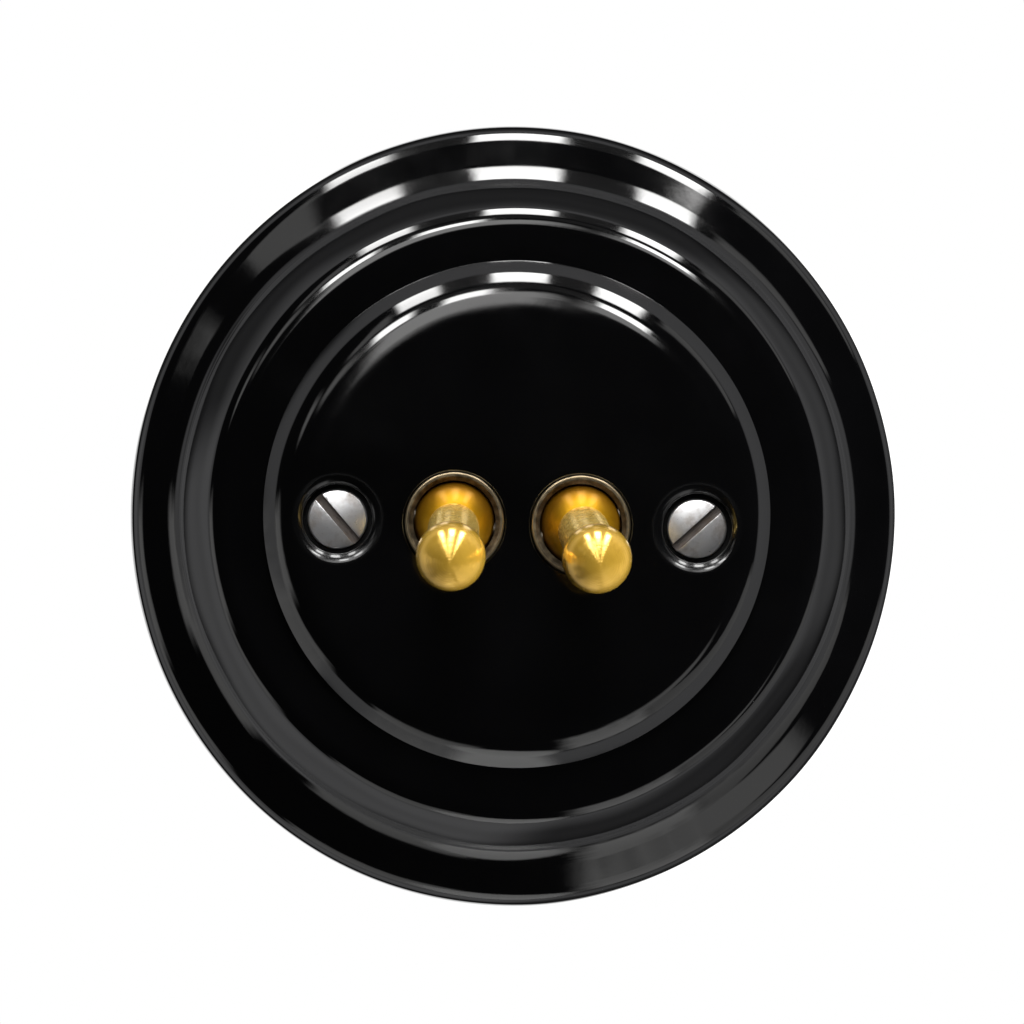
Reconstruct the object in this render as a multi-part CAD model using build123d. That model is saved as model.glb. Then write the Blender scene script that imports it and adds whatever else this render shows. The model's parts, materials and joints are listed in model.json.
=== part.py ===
from build123d import *
import os
from math import asin, cos, degrees, radians, sin, sqrt, tan

# Flush roller shutter switch: a round glazed porcelain frame and cover with two brass toggle levers.
# Every length is in millimetres and every angle in degrees.
# Pieces are drawn in the face frame: X right, Y up, Z out of the wall, with the wall plane at Z = 0.
# The last step turns them so that +Z is up and the switch faces -Y.

# Porcelain frame, whose skin runs from the wall inwards: roll, slope, cove, wall, ridge, flat ledge
FOOT_ROUND = 0.8
ROLL_R = 3.8
SLOPE_TILT = 26.0
SLOPE_RUN = 3.16
COVE_R = 7.3
COVE_TILT = 50.0
WALL_TILT = 60.0
WALL_RUN = 6.92
RIDGE_R = 3.2
FRAME_WALL = 4.4
FOOT_WIDTH = 8.5
OPENING_ROUND = 0.6

# Porcelain cover disc, whose row of screws and toggles lies a little below its middle
ROW_DROP = 1.2
LEDGE_SHOWN = 4.45
LEDGE_SEAT = 3.3
COVER_LIP = 0.9
COVER_FLARE_R = 0.2
COVER_WALL_TILT = 52.0
COVER_WALL_RUN = 2.02
COVER_ROUND_R = 5.2
COVER_T = 5.0
SPIGOT_PLAY = 0.4
SPIGOT_DEPTH = 2.6
SPIGOT_WALL = 2.4

# Cover screws and the pillars that they enter
COVER_SCREW_D = 4.0
COVER_SCREW_HEAD_D = 7.5
COVER_SCREW_HEAD_H = 2.5
COVER_SCREW_CROWN = 0.38
COVER_SCREW_LENGTH = 12.0
COVER_SCREW_TURNS = (-48.0, 38.0)
SCREW_WELL_D = 9.3
SCREW_WELL_DEPTH = 3.5
SCREW_WELL_RIM = 0.8
SCREW_HOLE_D = 4.8
BOSS_D = 11.2
BOSS_T = 3.2
PILLAR_AF = 6.0
PILLAR_GAP = 0.3
PILLAR_CLEAR = 0.4
PILLAR_EDGE = 1.4
PILLAR_SPIGOT_D = 5.0

# Toggle bushes, ring nuts and levers
TOGGLE_X = 7.92
LEFT_TOGGLE_TURN = -8.5
RIGHT_TOGGLE_TURN = 18.0
BUSH_D = 12.4
BUSH_WALL = 1.05
BUSH_PROUD = 0.6
BUSH_EDGE = 0.2
BUSH_LAND = 0.3
BUSH_BEVEL_DEPTH = 0.5
BUSH_FLANGE_REACH = 1.2
BUSH_FLANGE_T = 1.2
BUSH_HOLE_PLAY = 0.12
BUSH_HOLE_RIM = 0.2
NUT_WALL = 1.3
NUT_T = 2.4
NUT_SLOT = 1.8
LEVER_TILT = 13.2
PIVOT_SINK = 2.0
DOME_PLAY = 0.1
NECK_D = 6.0
KNOB_D = 8.6
KNOB_REACH = 19.6
TAIL_D = 4.0
TAIL_LENGTH = 16.9
PIN_D = 1.8
SPRING_BORE_D = 3.0
SPRING_TOP = 4.0
SPRING_LENGTH = 7.5
SPRING_D = 2.6
SPRING_WIRE = 0.5
SPRING_TURNS = 5.0
PLUNGER_D = 2.7
PLUNGER_OUT = 3.5

# Contact rockers, fixed contacts and terminals
ROCKER_TILT = 8.0
ROCKER_GAP = 0.1
ROCKER_W = 6.0
ROCKER_T = 0.8
ROCKER_CAM_R = 9.5
ROCKER_CAM_ANGLE = 27.0
ROCKER_ARM = 4.2
TRUNNION_D = 1.6
TIP_D = 2.4
TIP_T = 0.5
TIP_INSET = 1.6
CONTACT_GAP = 0.06
CONTACT_W = 5.0
CONTACT_T = 1.0
POST_CLEAR = 0.4
SADDLE_EAR = 1.0
SADDLE_PLAY = 0.15
TERMINAL_W = 7.0
TERMINAL_L = 6.4
TERMINAL_T = 1.5
CLAMP_T = 1.0
TERMINAL_SCREW_D = 3.5
TERMINAL_SCREW_HEAD_D = 6.0
TERMINAL_SCREW_HEAD_H = 1.9
TERMINAL_SCREW_LENGTH = 4.6

# Moulded switch body and its terminal base
BODY_FRONT = 9.5
BODY_BACK = -12.6
BODY_WALL = 2.0
BODY_FRONT_WALL = 2.4
BODY_CORNER = 2.5
EAR_INSET = 3.0
EAR_REACH = 6.0
EAR_T = 2.5
EAR_SCREW_INSET = 7.0
BODY_SCREW_D = 3.0
BODY_SCREW_HEAD_D = 5.4
BODY_SCREW_HEAD_H = 1.7
BODY_SCREW_LENGTH = 5.5
BASE_T = 3.0
BASE_LIP = 1.5
BASE_PLAY = 0.2
RIB_T = 0.9
RIB_H = 4.2
RIB_CLEAR = 0.6
CORNER_POST = 3.8
BASE_SCREW_D = 2.2
BASE_SCREW_HEAD_D = 4.2
BASE_SCREW_HEAD_H = 1.3
BASE_SCREW_LENGTH = 9.0
BASE_SCREW_CLEAR = 0.8

# Mounting strap with its box screw slots and earth tab
STRAP_EDGE = 3.0
STRAP_CLEAR = 4.5
STRAP_T = 1.5
WINDOW_PLAY = 0.3
BOX_SCREW_SPACING = 60.0
BOX_SLOT_W = 3.8
BOX_SLOT_L = 8.0
EARTH_TAB_W = 8.0
EARTH_TAB_DROP = 9.5
EARTH_TAB_GAP = 2.0

# Fits
THREAD_PLAY = 0.05
PIVOT_PLAY = 0.05

# The bush's own sizes and the plunger follow from the bush and the lever's tail
BUSH_BORE_D = BUSH_D - 2 * BUSH_WALL
BUSH_FLANGE_D = BUSH_D + 2 * BUSH_FLANGE_REACH
NUT_D = BUSH_D + 2 * NUT_WALL
DOME_D = BUSH_BORE_D - 2 * DOME_PLAY
PLUNGER_REACH = TAIL_LENGTH + PLUNGER_OUT

# Terminals, from the middle row outwards, and the body that closes round them
MIDDLE_SCREW_Y = -0.6
MIDDLE_TOP_Y = MIDDLE_SCREW_Y + TERMINAL_L / 2 + 0.5
POST_Y = MIDDLE_TOP_Y + RIB_T + 2 * RIB_CLEAR + TERMINAL_L
END_SCREW_Y = POST_Y - TERMINAL_L / 2
BASE_SCREW_X = TOGGLE_X + TERMINAL_W / 2 + BASE_SCREW_CLEAR + BASE_SCREW_HEAD_D / 2
CAVITY_W = 2 * (BASE_SCREW_X + 0.4 * CORNER_POST)
CAVITY_H = 2 * (POST_Y + POST_CLEAR)
BASE_SCREW_Y = CAVITY_H / 2 - 0.4 * CORNER_POST
BODY_W = CAVITY_W + 2 * BODY_WALL
BODY_H = CAVITY_H + 2 * BODY_WALL
EAR_W = BODY_W - 2 * EAR_INSET
EAR_SCREW_X = BODY_W / 2 - EAR_SCREW_INSET
EAR_SCREW_Y = BODY_H / 2 + EAR_REACH / 2
WINDOW_W = BODY_W + 2 * WINDOW_PLAY
WINDOW_H = BODY_H + 2 * WINDOW_PLAY
COVER_SCREW_X = WINDOW_W / 2 + PILLAR_EDGE + PILLAR_AF / 2

# The strap reaches past the box screws, and the frame stands round the strap
STRAP_R = (BOX_SCREW_SPACING + BOX_SLOT_L) / 2 + STRAP_EDGE
FRAME_R = STRAP_R + STRAP_CLEAR + FOOT_WIDTH


def line_up(start, tilt, run):
    """Edge that leaves start inwards and upwards at the given tilt."""
    end = (start.X - run * cos(radians(tilt)), start.Y + run * sin(radians(tilt)))
    return Line(start, end)


def turned(*edges):
    """Solid of revolution about Z from a closed outline drawn in radius and height."""
    return revolve(Plane.XZ * make_face(edges), Axis.Z)


def block(x, y, z):
    """Box between the low and high limits on each axis."""
    size = Box(x[1] - x[0], y[1] - y[0], z[1] - z[0])
    return Pos((x[0] + x[1]) / 2, (y[0] + y[1]) / 2, (z[0] + z[1]) / 2) * size


def rod(radius, low, high):
    """Cylinder on the Z axis between two heights."""
    return Pos(0, 0, (low + high) / 2) * Cylinder(radius, high - low)


def flared_well(radius, rim, low, face):
    """Round hole from low up to face, with the rim rounded outwards."""
    side = Line((radius, low), (radius, face - rim))
    flare = JernArc(side @ 1, (0, 1), rim, -90)
    rest = Polyline(flare @ 1, (radius + rim, face + 1), (0, face + 1), (0, low), (radius, low))
    return turned(side, flare, rest)


def slotted_screw(shank_d, length, head_d, head_h, turn, crown=0.0):
    """Slotted screw with its seat at Z = 0 and its shank along -Z. A crowned head is domed, others bevelled."""
    edge = (0.14 if crown else 0.3) * head_h
    seat = Polyline((0, -length), (shank_d / 2, -length), (shank_d / 2, 0), (head_d / 2, 0))
    side = Line(seat @ 1, (head_d / 2, head_h - crown - edge))
    rim = (head_d / 2 - edge, head_h - crown)
    if crown:
        crown_r = (rim[0] ** 2 + crown**2) / (2 * crown)
        corner = JernArc(side @ 1, (0, 1), edge, 90)
        top = JernArc((0, head_h), (1, 0), crown_r, -degrees(asin(rim[0] / crown_r)))
    else:
        corner = Line(side @ 1, rim)
        top = Line(rim, (0, head_h))
    axis = Line((0, head_h), (0, -length))
    half = 0.07 * head_d
    slot = Rot(Z=turn) * block((-head_d, head_d), (-half, half), (head_h * 0.5, head_h + 1))
    return turned(seat, side, corner, top, axis) - slot


def frame_skin():
    """Edges of the frame's glazed skin from its foot up to the start of the ledge."""
    roll = JernArc((FRAME_R, FOOT_ROUND), (0, 1), ROLL_R, 90 - SLOPE_TILT)
    slope = line_up(roll @ 1, SLOPE_TILT, SLOPE_RUN)
    cove = JernArc(slope @ 1, slope % 1, COVE_R, SLOPE_TILT - COVE_TILT)
    wall = line_up(cove @ 1, WALL_TILT, WALL_RUN)
    ridge = JernArc(wall @ 1, wall % 1, RIDGE_R, WALL_TILT)
    return roll, slope, cove, wall, ridge


def cover_skin(foot_r, foot_z):
    """Edges of the cover's glazed skin from its lip up to the start of the flat face."""
    lip = Line((foot_r, foot_z), (foot_r, foot_z + COVER_LIP))
    flare = JernArc(lip @ 1, (-1, 0), COVER_FLARE_R, -COVER_WALL_TILT)
    wall = line_up(flare @ 1, COVER_WALL_TILT, COVER_WALL_RUN)
    crown = JernArc(wall @ 1, wall % 1, COVER_ROUND_R, COVER_WALL_TILT)
    return lip, flare, wall, crown


# Radii and heights that follow from the skins
FRAME_SKIN = frame_skin()
LEDGE_Z = (FRAME_SKIN[-1] @ 1).Y
COVER_R = (FRAME_SKIN[-1] @ 1).X - LEDGE_SHOWN
OPENING_R = COVER_R - LEDGE_SEAT
COVER_SKIN = cover_skin(COVER_R, LEDGE_Z)
FACE_Z = (COVER_SKIN[-1] @ 1).Y
CEILING_Z = FACE_Z - COVER_T
SEAT_Z = FACE_Z - SCREW_WELL_DEPTH
BOSS_Z = SEAT_Z - BOSS_T
RING_Z = FACE_Z + BUSH_PROUD
PIVOT_Z = RING_Z - PIVOT_SINK

# Heights and reaches of the contact gear, measured in the face frame
CAM_TOP = PLUNGER_REACH + ROCKER_GAP
ROCKER_Z = PIVOT_Z - CAM_TOP - ROCKER_T - 0.3 * TRUNNION_D
CAVITY_Z = BODY_FRONT - BODY_FRONT_WALL
BASE_Z = BODY_BACK - BASE_T
FLOOR_Z = BODY_BACK + BASE_LIP
TAB_Y = -WINDOW_H / 2 - EARTH_TAB_GAP
EARTH_SCREW_Z = -EARTH_TAB_DROP / 2

# Each toggle: side, place across the face, turn of its bush about its own axis
TOGGLES = (("left", -TOGGLE_X, LEFT_TOGGLE_TURN), ("right", TOGGLE_X, RIGHT_TOGGLE_TURN))


def frame_ring():
    """Hollow-backed porcelain ring with an ogee skin and a flat ledge for the cover."""
    wall_low, wall_high = FRAME_SKIN[3] @ 0, FRAME_SKIN[3] @ 1
    ridge_end = FRAME_SKIN[4] @ 1
    ledge = Line(ridge_end, (OPENING_R + OPENING_ROUND, LEDGE_Z))
    lip = JernArc(ledge @ 1, (-1, 0), OPENING_ROUND, 90)
    # the hollow follows the steep wall at the wall thickness below it
    inward = FRAME_WALL * sin(radians(WALL_TILT))
    hollow_r, hollow_z = wall_low.X - inward, wall_low.Y - FRAME_WALL * cos(radians(WALL_TILT))
    lean = 1 / tan(radians(WALL_TILT))
    roof_z = LEDGE_Z - FRAME_WALL
    roof_r = hollow_r - (roof_z - hollow_z) * lean
    foot_r = FRAME_R - FOOT_WIDTH
    foot_z = max(hollow_z - (foot_r - hollow_r) / lean, 0.4)
    hollow = Polyline(
        lip @ 1, (OPENING_R, roof_z), (roof_r, roof_z), (foot_r, foot_z), (foot_r, 0),
        (FRAME_R - FOOT_ROUND, 0)
    )
    toe = JernArc(hollow @ 1, (1, 0), FOOT_ROUND, 90)
    return Pos(Y=ROW_DROP) * turned(*FRAME_SKIN, ledge, lip, hollow, toe)


def cover_disc():
    """Porcelain disc with wells for two screws and holes for two toggles, hollow behind."""
    spigot_r = OPENING_R - SPIGOT_PLAY
    spigot_z = LEDGE_Z - SPIGOT_DEPTH
    hollow_r = spigot_r - SPIGOT_WALL
    face = Line(COVER_SKIN[-1] @ 1, (0, FACE_Z))
    back = Polyline(
        (0, FACE_Z), (0, CEILING_Z), (hollow_r, CEILING_Z), (hollow_r, spigot_z), (spigot_r, spigot_z),
        (spigot_r, LEDGE_Z), (COVER_R, LEDGE_Z)
    )
    disc = Pos(Y=ROW_DROP) * turned(*COVER_SKIN, face, back)
    for x in (-COVER_SCREW_X, COVER_SCREW_X):
        disc += Pos(X=x) * rod(BOSS_D / 2, BOSS_Z, CEILING_Z + 0.5)
    pillar_room = PILLAR_AF / 2 / cos(radians(30)) + PILLAR_CLEAR
    for x in (-COVER_SCREW_X, COVER_SCREW_X):
        disc -= Pos(X=x) * flared_well(SCREW_WELL_D / 2, SCREW_WELL_RIM, SEAT_Z, FACE_Z)
        disc -= Pos(X=x) * rod(SCREW_HOLE_D / 2, BOSS_Z - 1, SEAT_Z + 1)
        disc -= Pos(X=x) * rod(pillar_room, spigot_z - 1, BOSS_Z)
    hole_r = BUSH_D / 2 + BUSH_HOLE_PLAY
    for x in (-TOGGLE_X, TOGGLE_X):
        disc -= Pos(X=x) * flared_well(hole_r, BUSH_HOLE_RIM, CEILING_Z - 1, FACE_Z)
    return disc


def cover_screws():
    """Two slotted screws that hold the cover down on the frame."""
    screws = []
    for x, turn in zip((-COVER_SCREW_X, COVER_SCREW_X), COVER_SCREW_TURNS):
        screw = slotted_screw(
            COVER_SCREW_D, COVER_SCREW_LENGTH, COVER_SCREW_HEAD_D, COVER_SCREW_HEAD_H, turn, COVER_SCREW_CROWN
        )
        screws.append(Pos(x, 0, SEAT_Z) * screw)
    return screws


def cover_pillars():
    """Two hexagonal threaded pillars staked into the strap."""
    top = BOSS_Z - PILLAR_GAP
    bore_r = COVER_SCREW_D / 2 + THREAD_PLAY
    hexagon = RegularPolygon(PILLAR_AF / 2, 6, major_radius=False, rotation=30)
    pillar = extrude(Pos(Z=STRAP_T) * hexagon, top - STRAP_T) + rod(PILLAR_SPIGOT_D / 2, 0, STRAP_T)
    pillar -= rod(bore_r, SEAT_Z - COVER_SCREW_LENGTH - 0.5, top + 1)
    return [Pos(X=x) * pillar for x in (-COVER_SCREW_X, COVER_SCREW_X)]


def mounting_strap():
    """Round steel strap that stands on the wall box, with a folded earth tab behind."""
    plate = rod(STRAP_R, 0, STRAP_T)
    plate -= block((-WINDOW_W / 2, WINDOW_W / 2), (-WINDOW_H / 2, WINDOW_H / 2), (-1, STRAP_T + 1))
    half_tab = EARTH_TAB_W / 2
    plate -= block((-half_tab, half_tab), (TAB_Y, 0), (-1, STRAP_T + 1))
    plate += block((-half_tab, half_tab), (TAB_Y - STRAP_T, TAB_Y), (-EARTH_TAB_DROP, STRAP_T))
    slot = extrude(SlotOverall(BOX_SLOT_L, BOX_SLOT_W), STRAP_T + 1, both=True)
    for turn in (0, 90, 180, 270):
        plate -= Rot(Z=turn) * Pos(X=BOX_SCREW_SPACING / 2) * slot
    for x in (-COVER_SCREW_X, COVER_SCREW_X):
        plate -= Pos(X=x) * rod(PILLAR_SPIGOT_D / 2 + THREAD_PLAY, -1, STRAP_T + 1)
    for x in (-EAR_SCREW_X, EAR_SCREW_X):
        for y in (-EAR_SCREW_Y, EAR_SCREW_Y):
            plate -= Pos(x, y, 0) * rod(BODY_SCREW_D / 2 + THREAD_PLAY, -1, STRAP_T + 1)
    tap = rod(TERMINAL_SCREW_D / 2 + THREAD_PLAY, -2 * STRAP_T, 2 * STRAP_T)
    return plate - Pos(0, TAB_Y, EARTH_SCREW_Z) * Rot(X=90) * tap


def switch_body():
    """Moulded housing, open behind, with two ears that stand on the strap."""
    shell = block((-BODY_W / 2, BODY_W / 2), (-BODY_H / 2, BODY_H / 2), (BODY_BACK, BODY_FRONT))
    shell = fillet(shell.edges().filter_by(Axis.Z), BODY_CORNER)
    low_ear = BODY_H / 2 + EAR_REACH
    shell += block((-EAR_W / 2, EAR_W / 2), (-low_ear, low_ear), (STRAP_T, STRAP_T + EAR_T))
    shell -= block((-CAVITY_W / 2, CAVITY_W / 2), (-CAVITY_H / 2, CAVITY_H / 2), (BODY_BACK - 1, CAVITY_Z))
    for x in (-1, 1):
        for y in (-1, 1):
            corner = Pos(x * (CAVITY_W - CORNER_POST) / 2, y * (CAVITY_H - CORNER_POST) / 2, 0)
            shell += corner * block(
                (-CORNER_POST / 2, CORNER_POST / 2), (-CORNER_POST / 2, CORNER_POST / 2), (FLOOR_Z, CAVITY_Z)
            )
            hole = rod(BASE_SCREW_D / 2 + THREAD_PLAY, BODY_BACK - 1, BASE_Z + BASE_SCREW_LENGTH + 0.5)
            shell -= Pos(x * BASE_SCREW_X, y * BASE_SCREW_Y, 0) * hole
            ear_hole = rod(BODY_SCREW_D / 2 + 0.15, STRAP_T - 1, STRAP_T + EAR_T + 1)
            shell -= Pos(x * EAR_SCREW_X, y * EAR_SCREW_Y, 0) * ear_hole
    for x in (-TOGGLE_X, TOGGLE_X):
        shell -= Pos(X=x) * rod(BUSH_D / 2 + 0.1, CAVITY_Z - 1, BODY_FRONT + 1)
    return shell


def body_screws():
    """Four screws through the body's ears into the strap."""
    screw = slotted_screw(BODY_SCREW_D, BODY_SCREW_LENGTH, BODY_SCREW_HEAD_D, BODY_SCREW_HEAD_H, 25)
    spots = [(x, y) for x in (-EAR_SCREW_X, EAR_SCREW_X) for y in (-EAR_SCREW_Y, EAR_SCREW_Y)]
    return [Pos(x, y, STRAP_T + EAR_T) * screw for x, y in spots]


def terminal_base():
    """Moulded plate that closes the body and carries the terminals between low ribs."""
    plate = block((-BODY_W / 2, BODY_W / 2), (-BODY_H / 2, BODY_H / 2), (BASE_Z, BODY_BACK))
    plate = fillet(plate.edges().filter_by(Axis.Z), BODY_CORNER)
    half_w, half_h = CAVITY_W / 2 - BASE_PLAY, CAVITY_H / 2 - BASE_PLAY
    plate += block((-half_w, half_w), (-half_h, half_h), (BODY_BACK - 0.5, FLOOR_Z - BASE_PLAY))
    rib_y = (MIDDLE_TOP_Y + POST_Y - TERMINAL_L) / 2
    rib_z = (BASE_Z - RIB_H, BASE_Z + 0.5)
    for y in (-rib_y, rib_y):
        plate += block((-CAVITY_W / 2, CAVITY_W / 2), (y - RIB_T / 2, y + RIB_T / 2), rib_z)
    plate += block((-RIB_T / 2, RIB_T / 2), (-CAVITY_H / 2, CAVITY_H / 2), rib_z)
    for x in (-1, 1):
        for y in (-1, 1):
            corner = Pos(x * BASE_SCREW_X, y * BASE_SCREW_Y, 0)
            side = CORNER_POST + 2 * BASE_PLAY
            notch = Pos(x * (CAVITY_W - side) / 2, y * (CAVITY_H - side) / 2, 0)
            plate -= notch * block((-side / 2, side / 2), (-side / 2, side / 2), (BODY_BACK, FLOOR_Z + 1))
            plate -= corner * rod(BASE_SCREW_D / 2 + 0.15, BASE_Z - 1, BODY_BACK + 1)
    for name, x, turn in TOGGLES:
        half = CONTACT_W / 2 + 0.1
        for y in (POST_Y, -POST_Y + CONTACT_T, saddle_post_y() + CONTACT_T):
            plate -= block((x - half, x + half), (y - CONTACT_T - 0.05, y + 0.05), (BASE_Z - 1, FLOOR_Z + 1))
        for y in (END_SCREW_Y, -END_SCREW_Y, MIDDLE_SCREW_Y):
            plate -= Pos(x, y, 0) * rod(TERMINAL_SCREW_D / 2 + 0.15, BASE_Z - 1, BASE_Z + 0.8 * BASE_T)
    return plate


def base_screws():
    """Four screws that hold the terminal base on the body."""
    screw = slotted_screw(BASE_SCREW_D, BASE_SCREW_LENGTH, BASE_SCREW_HEAD_D, BASE_SCREW_HEAD_H, 70)
    spots = [(x, y) for x in (-BASE_SCREW_X, BASE_SCREW_X) for y in (-BASE_SCREW_Y, BASE_SCREW_Y)]
    return [Pos(x, y, BASE_Z) * Rot(X=180) * screw for x, y in spots]


def toggle_bush():
    """Turned bush with a flange behind the body's front wall and a bevelled ring in front."""
    bore_r, out_r = BUSH_BORE_D / 2, BUSH_D / 2
    back_z = CAVITY_Z - BUSH_FLANGE_T
    base = Polyline(
        (bore_r, RING_Z - BUSH_BEVEL_DEPTH), (bore_r, back_z), (BUSH_FLANGE_D / 2, back_z),
        (BUSH_FLANGE_D / 2, CAVITY_Z), (out_r, CAVITY_Z), (out_r, RING_Z - BUSH_EDGE)
    )
    edge = JernArc(base @ 1, (0, 1), BUSH_EDGE, 90)
    front = Polyline(
        edge @ 1, (out_r - BUSH_EDGE - BUSH_LAND, RING_Z), (bore_r, RING_Z - BUSH_BEVEL_DEPTH)
    )
    pin_hole = Pos(Z=PIVOT_Z) * Rot(Y=90) * Cylinder(PIN_D / 2, 2 * BUSH_D)
    return turned(base, edge, front) - pin_hole


def bush_nut():
    """Ring nut with two spanner slots, seated on the body's front wall."""
    nut = rod(NUT_D / 2, BODY_FRONT, BODY_FRONT + NUT_T)
    nut -= rod(BUSH_D / 2 + THREAD_PLAY, BODY_FRONT - 1, BODY_FRONT + NUT_T + 1)
    return nut - block(
        (-NUT_SLOT / 2, NUT_SLOT / 2), (-NUT_D, NUT_D), (BODY_FRONT + NUT_T / 2, BODY_FRONT + NUT_T + 1)
    )


def toggle_lever():
    """One-piece turned lever about its pivot at the origin: tail, dome, neck and ball knob along Z."""
    dome_r, neck_r, knob_r, tail_r = DOME_D / 2, NECK_D / 2, KNOB_D / 2, TAIL_D / 2
    tail_top = -sqrt(dome_r**2 - tail_r**2)
    neck_low = sqrt(dome_r**2 - neck_r**2)
    neck_top = KNOB_REACH - sqrt(knob_r**2 - neck_r**2)
    tail = Polyline((0, -TAIL_LENGTH), (tail_r, -TAIL_LENGTH), (tail_r, tail_top))
    dome = ThreePointArc(tail @ 1, (dome_r, 0), (neck_r, neck_low))
    neck = Line(dome @ 1, (neck_r, neck_top))
    knob = ThreePointArc(neck @ 1, (knob_r, KNOB_REACH), (0, KNOB_REACH + knob_r))
    axis = Line(knob @ 1, (0, -TAIL_LENGTH))
    lever = turned(tail, dome, neck, knob, axis)
    lever -= Rot(Y=90) * Cylinder(PIN_D / 2 + PIVOT_PLAY, 2 * DOME_D)
    return lever - rod(SPRING_BORE_D / 2, -TAIL_LENGTH - 1, -SPRING_TOP)


def pivot_pin():
    """Pin across the bush on which the lever turns."""
    return Rot(Y=90) * Cylinder(PIN_D / 2, BUSH_D - 0.6)


def lever_spring():
    """Compression spring in the lever's tail, pressing on the plunger."""
    height = SPRING_LENGTH - SPRING_WIRE
    path = Helix(height / SPRING_TURNS, height, (SPRING_D - SPRING_WIRE) / 2)
    wire = Plane(path @ 0, z_dir=path % 0) * Circle(SPRING_WIRE / 2)
    coil = sweep(wire, path, is_frenet=True)
    return Pos(Z=-SPRING_TOP - SPRING_LENGTH + SPRING_WIRE / 2) * coil


def lever_plunger():
    """Round-nosed plunger that slides in the lever's tail and bears on the rocker."""
    nose_r = PLUNGER_D / 2
    nose = JernArc((nose_r, -PLUNGER_REACH + nose_r), (0, -1), nose_r, -90)
    top_z = -SPRING_TOP - SPRING_LENGTH
    body = Polyline(nose @ 1, (0, top_z), (nose_r, top_z), nose @ 0)
    return turned(nose, body)


def rocker_ends():
    """Rocker side view about its trunnion: cam ends on the top and under side, and the arm's tip."""
    turn = radians(ROCKER_CAM_ANGLE)
    arm = radians(ROCKER_TILT)
    top_z = ROCKER_T + 0.3 * TRUNNION_D
    centre_z = top_z + ROCKER_CAM_R
    outer = ROCKER_CAM_R + ROCKER_T
    cam_top = (ROCKER_CAM_R * sin(turn), centre_z - ROCKER_CAM_R * cos(turn))
    arm_top = (cam_top[0] + ROCKER_ARM * cos(arm), cam_top[1] + ROCKER_ARM * sin(arm))
    arm_low = (arm_top[0] + ROCKER_T * sin(arm), arm_top[1] - ROCKER_T * cos(arm))
    cam_low = (outer * sin(turn), centre_z - outer * cos(turn))
    return cam_top, arm_top, arm_low, cam_low, top_z, top_z - ROCKER_T


def contact_rocker():
    """Rocker strip with a hollow cam face, two arms and a round trunnion across it."""
    cam_top, arm_top, arm_low, cam_low, top_z, low_z = rocker_ends()
    mirrored = [(-y, z) for y, z in (cam_top, arm_top, arm_low, cam_low)]
    cam = ThreePointArc(mirrored[0], (0, top_z), cam_top)
    right = Polyline(cam_top, arm_top, arm_low, cam_low)
    under = ThreePointArc(cam_low, (0, low_z), mirrored[3])
    left = Polyline(mirrored[3], mirrored[2], mirrored[1], mirrored[0])
    strip = extrude(Plane.YZ * make_face([cam, right, under, left]), ROCKER_W / 2, both=True)
    trunnion_l = ROCKER_W + 2 * (SADDLE_PLAY + SADDLE_EAR)
    return strip + Rot(Y=90) * Cylinder(TRUNNION_D / 2, trunnion_l)


def rocker_tips():
    """Silver contact buttons under the two arms of the rocker."""
    cam_top, arm_top, arm_low, cam_low, top_z, low_z = rocker_ends()
    arm = radians(ROCKER_TILT)
    spot_y, spot_z = arm_low[0] - TIP_INSET * cos(arm), arm_low[1] - TIP_INSET * sin(arm)
    upper = Pos(0, spot_y, spot_z) * Rot(X=ROCKER_TILT) * rod(TIP_D / 2, -TIP_T, 0)
    lower = Pos(0, -spot_y, spot_z) * Rot(X=-ROCKER_TILT) * rod(TIP_D / 2, -TIP_T, 0)
    return [upper, lower]


def fixed_tip_spot():
    """Place of a fixed contact button across and along the body, under the pressed arm."""
    cam_top, arm_top, arm_low, cam_low, top_z, low_z = rocker_ends()
    arm = radians(ROCKER_TILT)
    along = arm_low[0] * cos(arm) + arm_low[1] * sin(arm) - TIP_INSET
    depth = arm_low[1] * cos(arm) - arm_low[0] * sin(arm)
    return along, ROCKER_Z + depth - TIP_T - CONTACT_GAP


def saddle_post_y():
    """Lower face of the saddle's post where it passes the terminal base."""
    return MIDDLE_TOP_Y - CONTACT_T


def end_contact(side):
    """Bent brass contact: a tongue under the rocker's arm, a post through the base and a terminal plate."""
    tip_y, tip_top = fixed_tip_spot()
    tongue_top = tip_top - TIP_T
    half = CONTACT_W / 2
    inner = tip_y - TIP_D / 2 - 0.4
    strip = block((-half, half), (inner, POST_Y), (tongue_top - CONTACT_T, tongue_top))
    strip += block((-half, half), (POST_Y - CONTACT_T, POST_Y), (BASE_Z - TERMINAL_T, tongue_top))
    plate_z = (BASE_Z - TERMINAL_T, BASE_Z)
    plate = block((-TERMINAL_W / 2, TERMINAL_W / 2), (POST_Y - TERMINAL_L, POST_Y), plate_z)
    hole = rod(TERMINAL_SCREW_D / 2 + THREAD_PLAY, BASE_Z - TERMINAL_T - 1, BASE_Z + 1)
    contact = strip + plate - Pos(Y=END_SCREW_Y) * hole
    return contact if side > 0 else Rot(Z=180) * contact


def fixed_tips():
    """Silver contact buttons on the four end contacts."""
    tip_y, tip_top = fixed_tip_spot()
    spots = [(x, y) for x in (-TOGGLE_X, TOGGLE_X) for y in (-tip_y, tip_y)]
    return [Pos(x, y, 0) * rod(TIP_D / 2, tip_top - TIP_T, tip_top) for x, y in spots]


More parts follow.
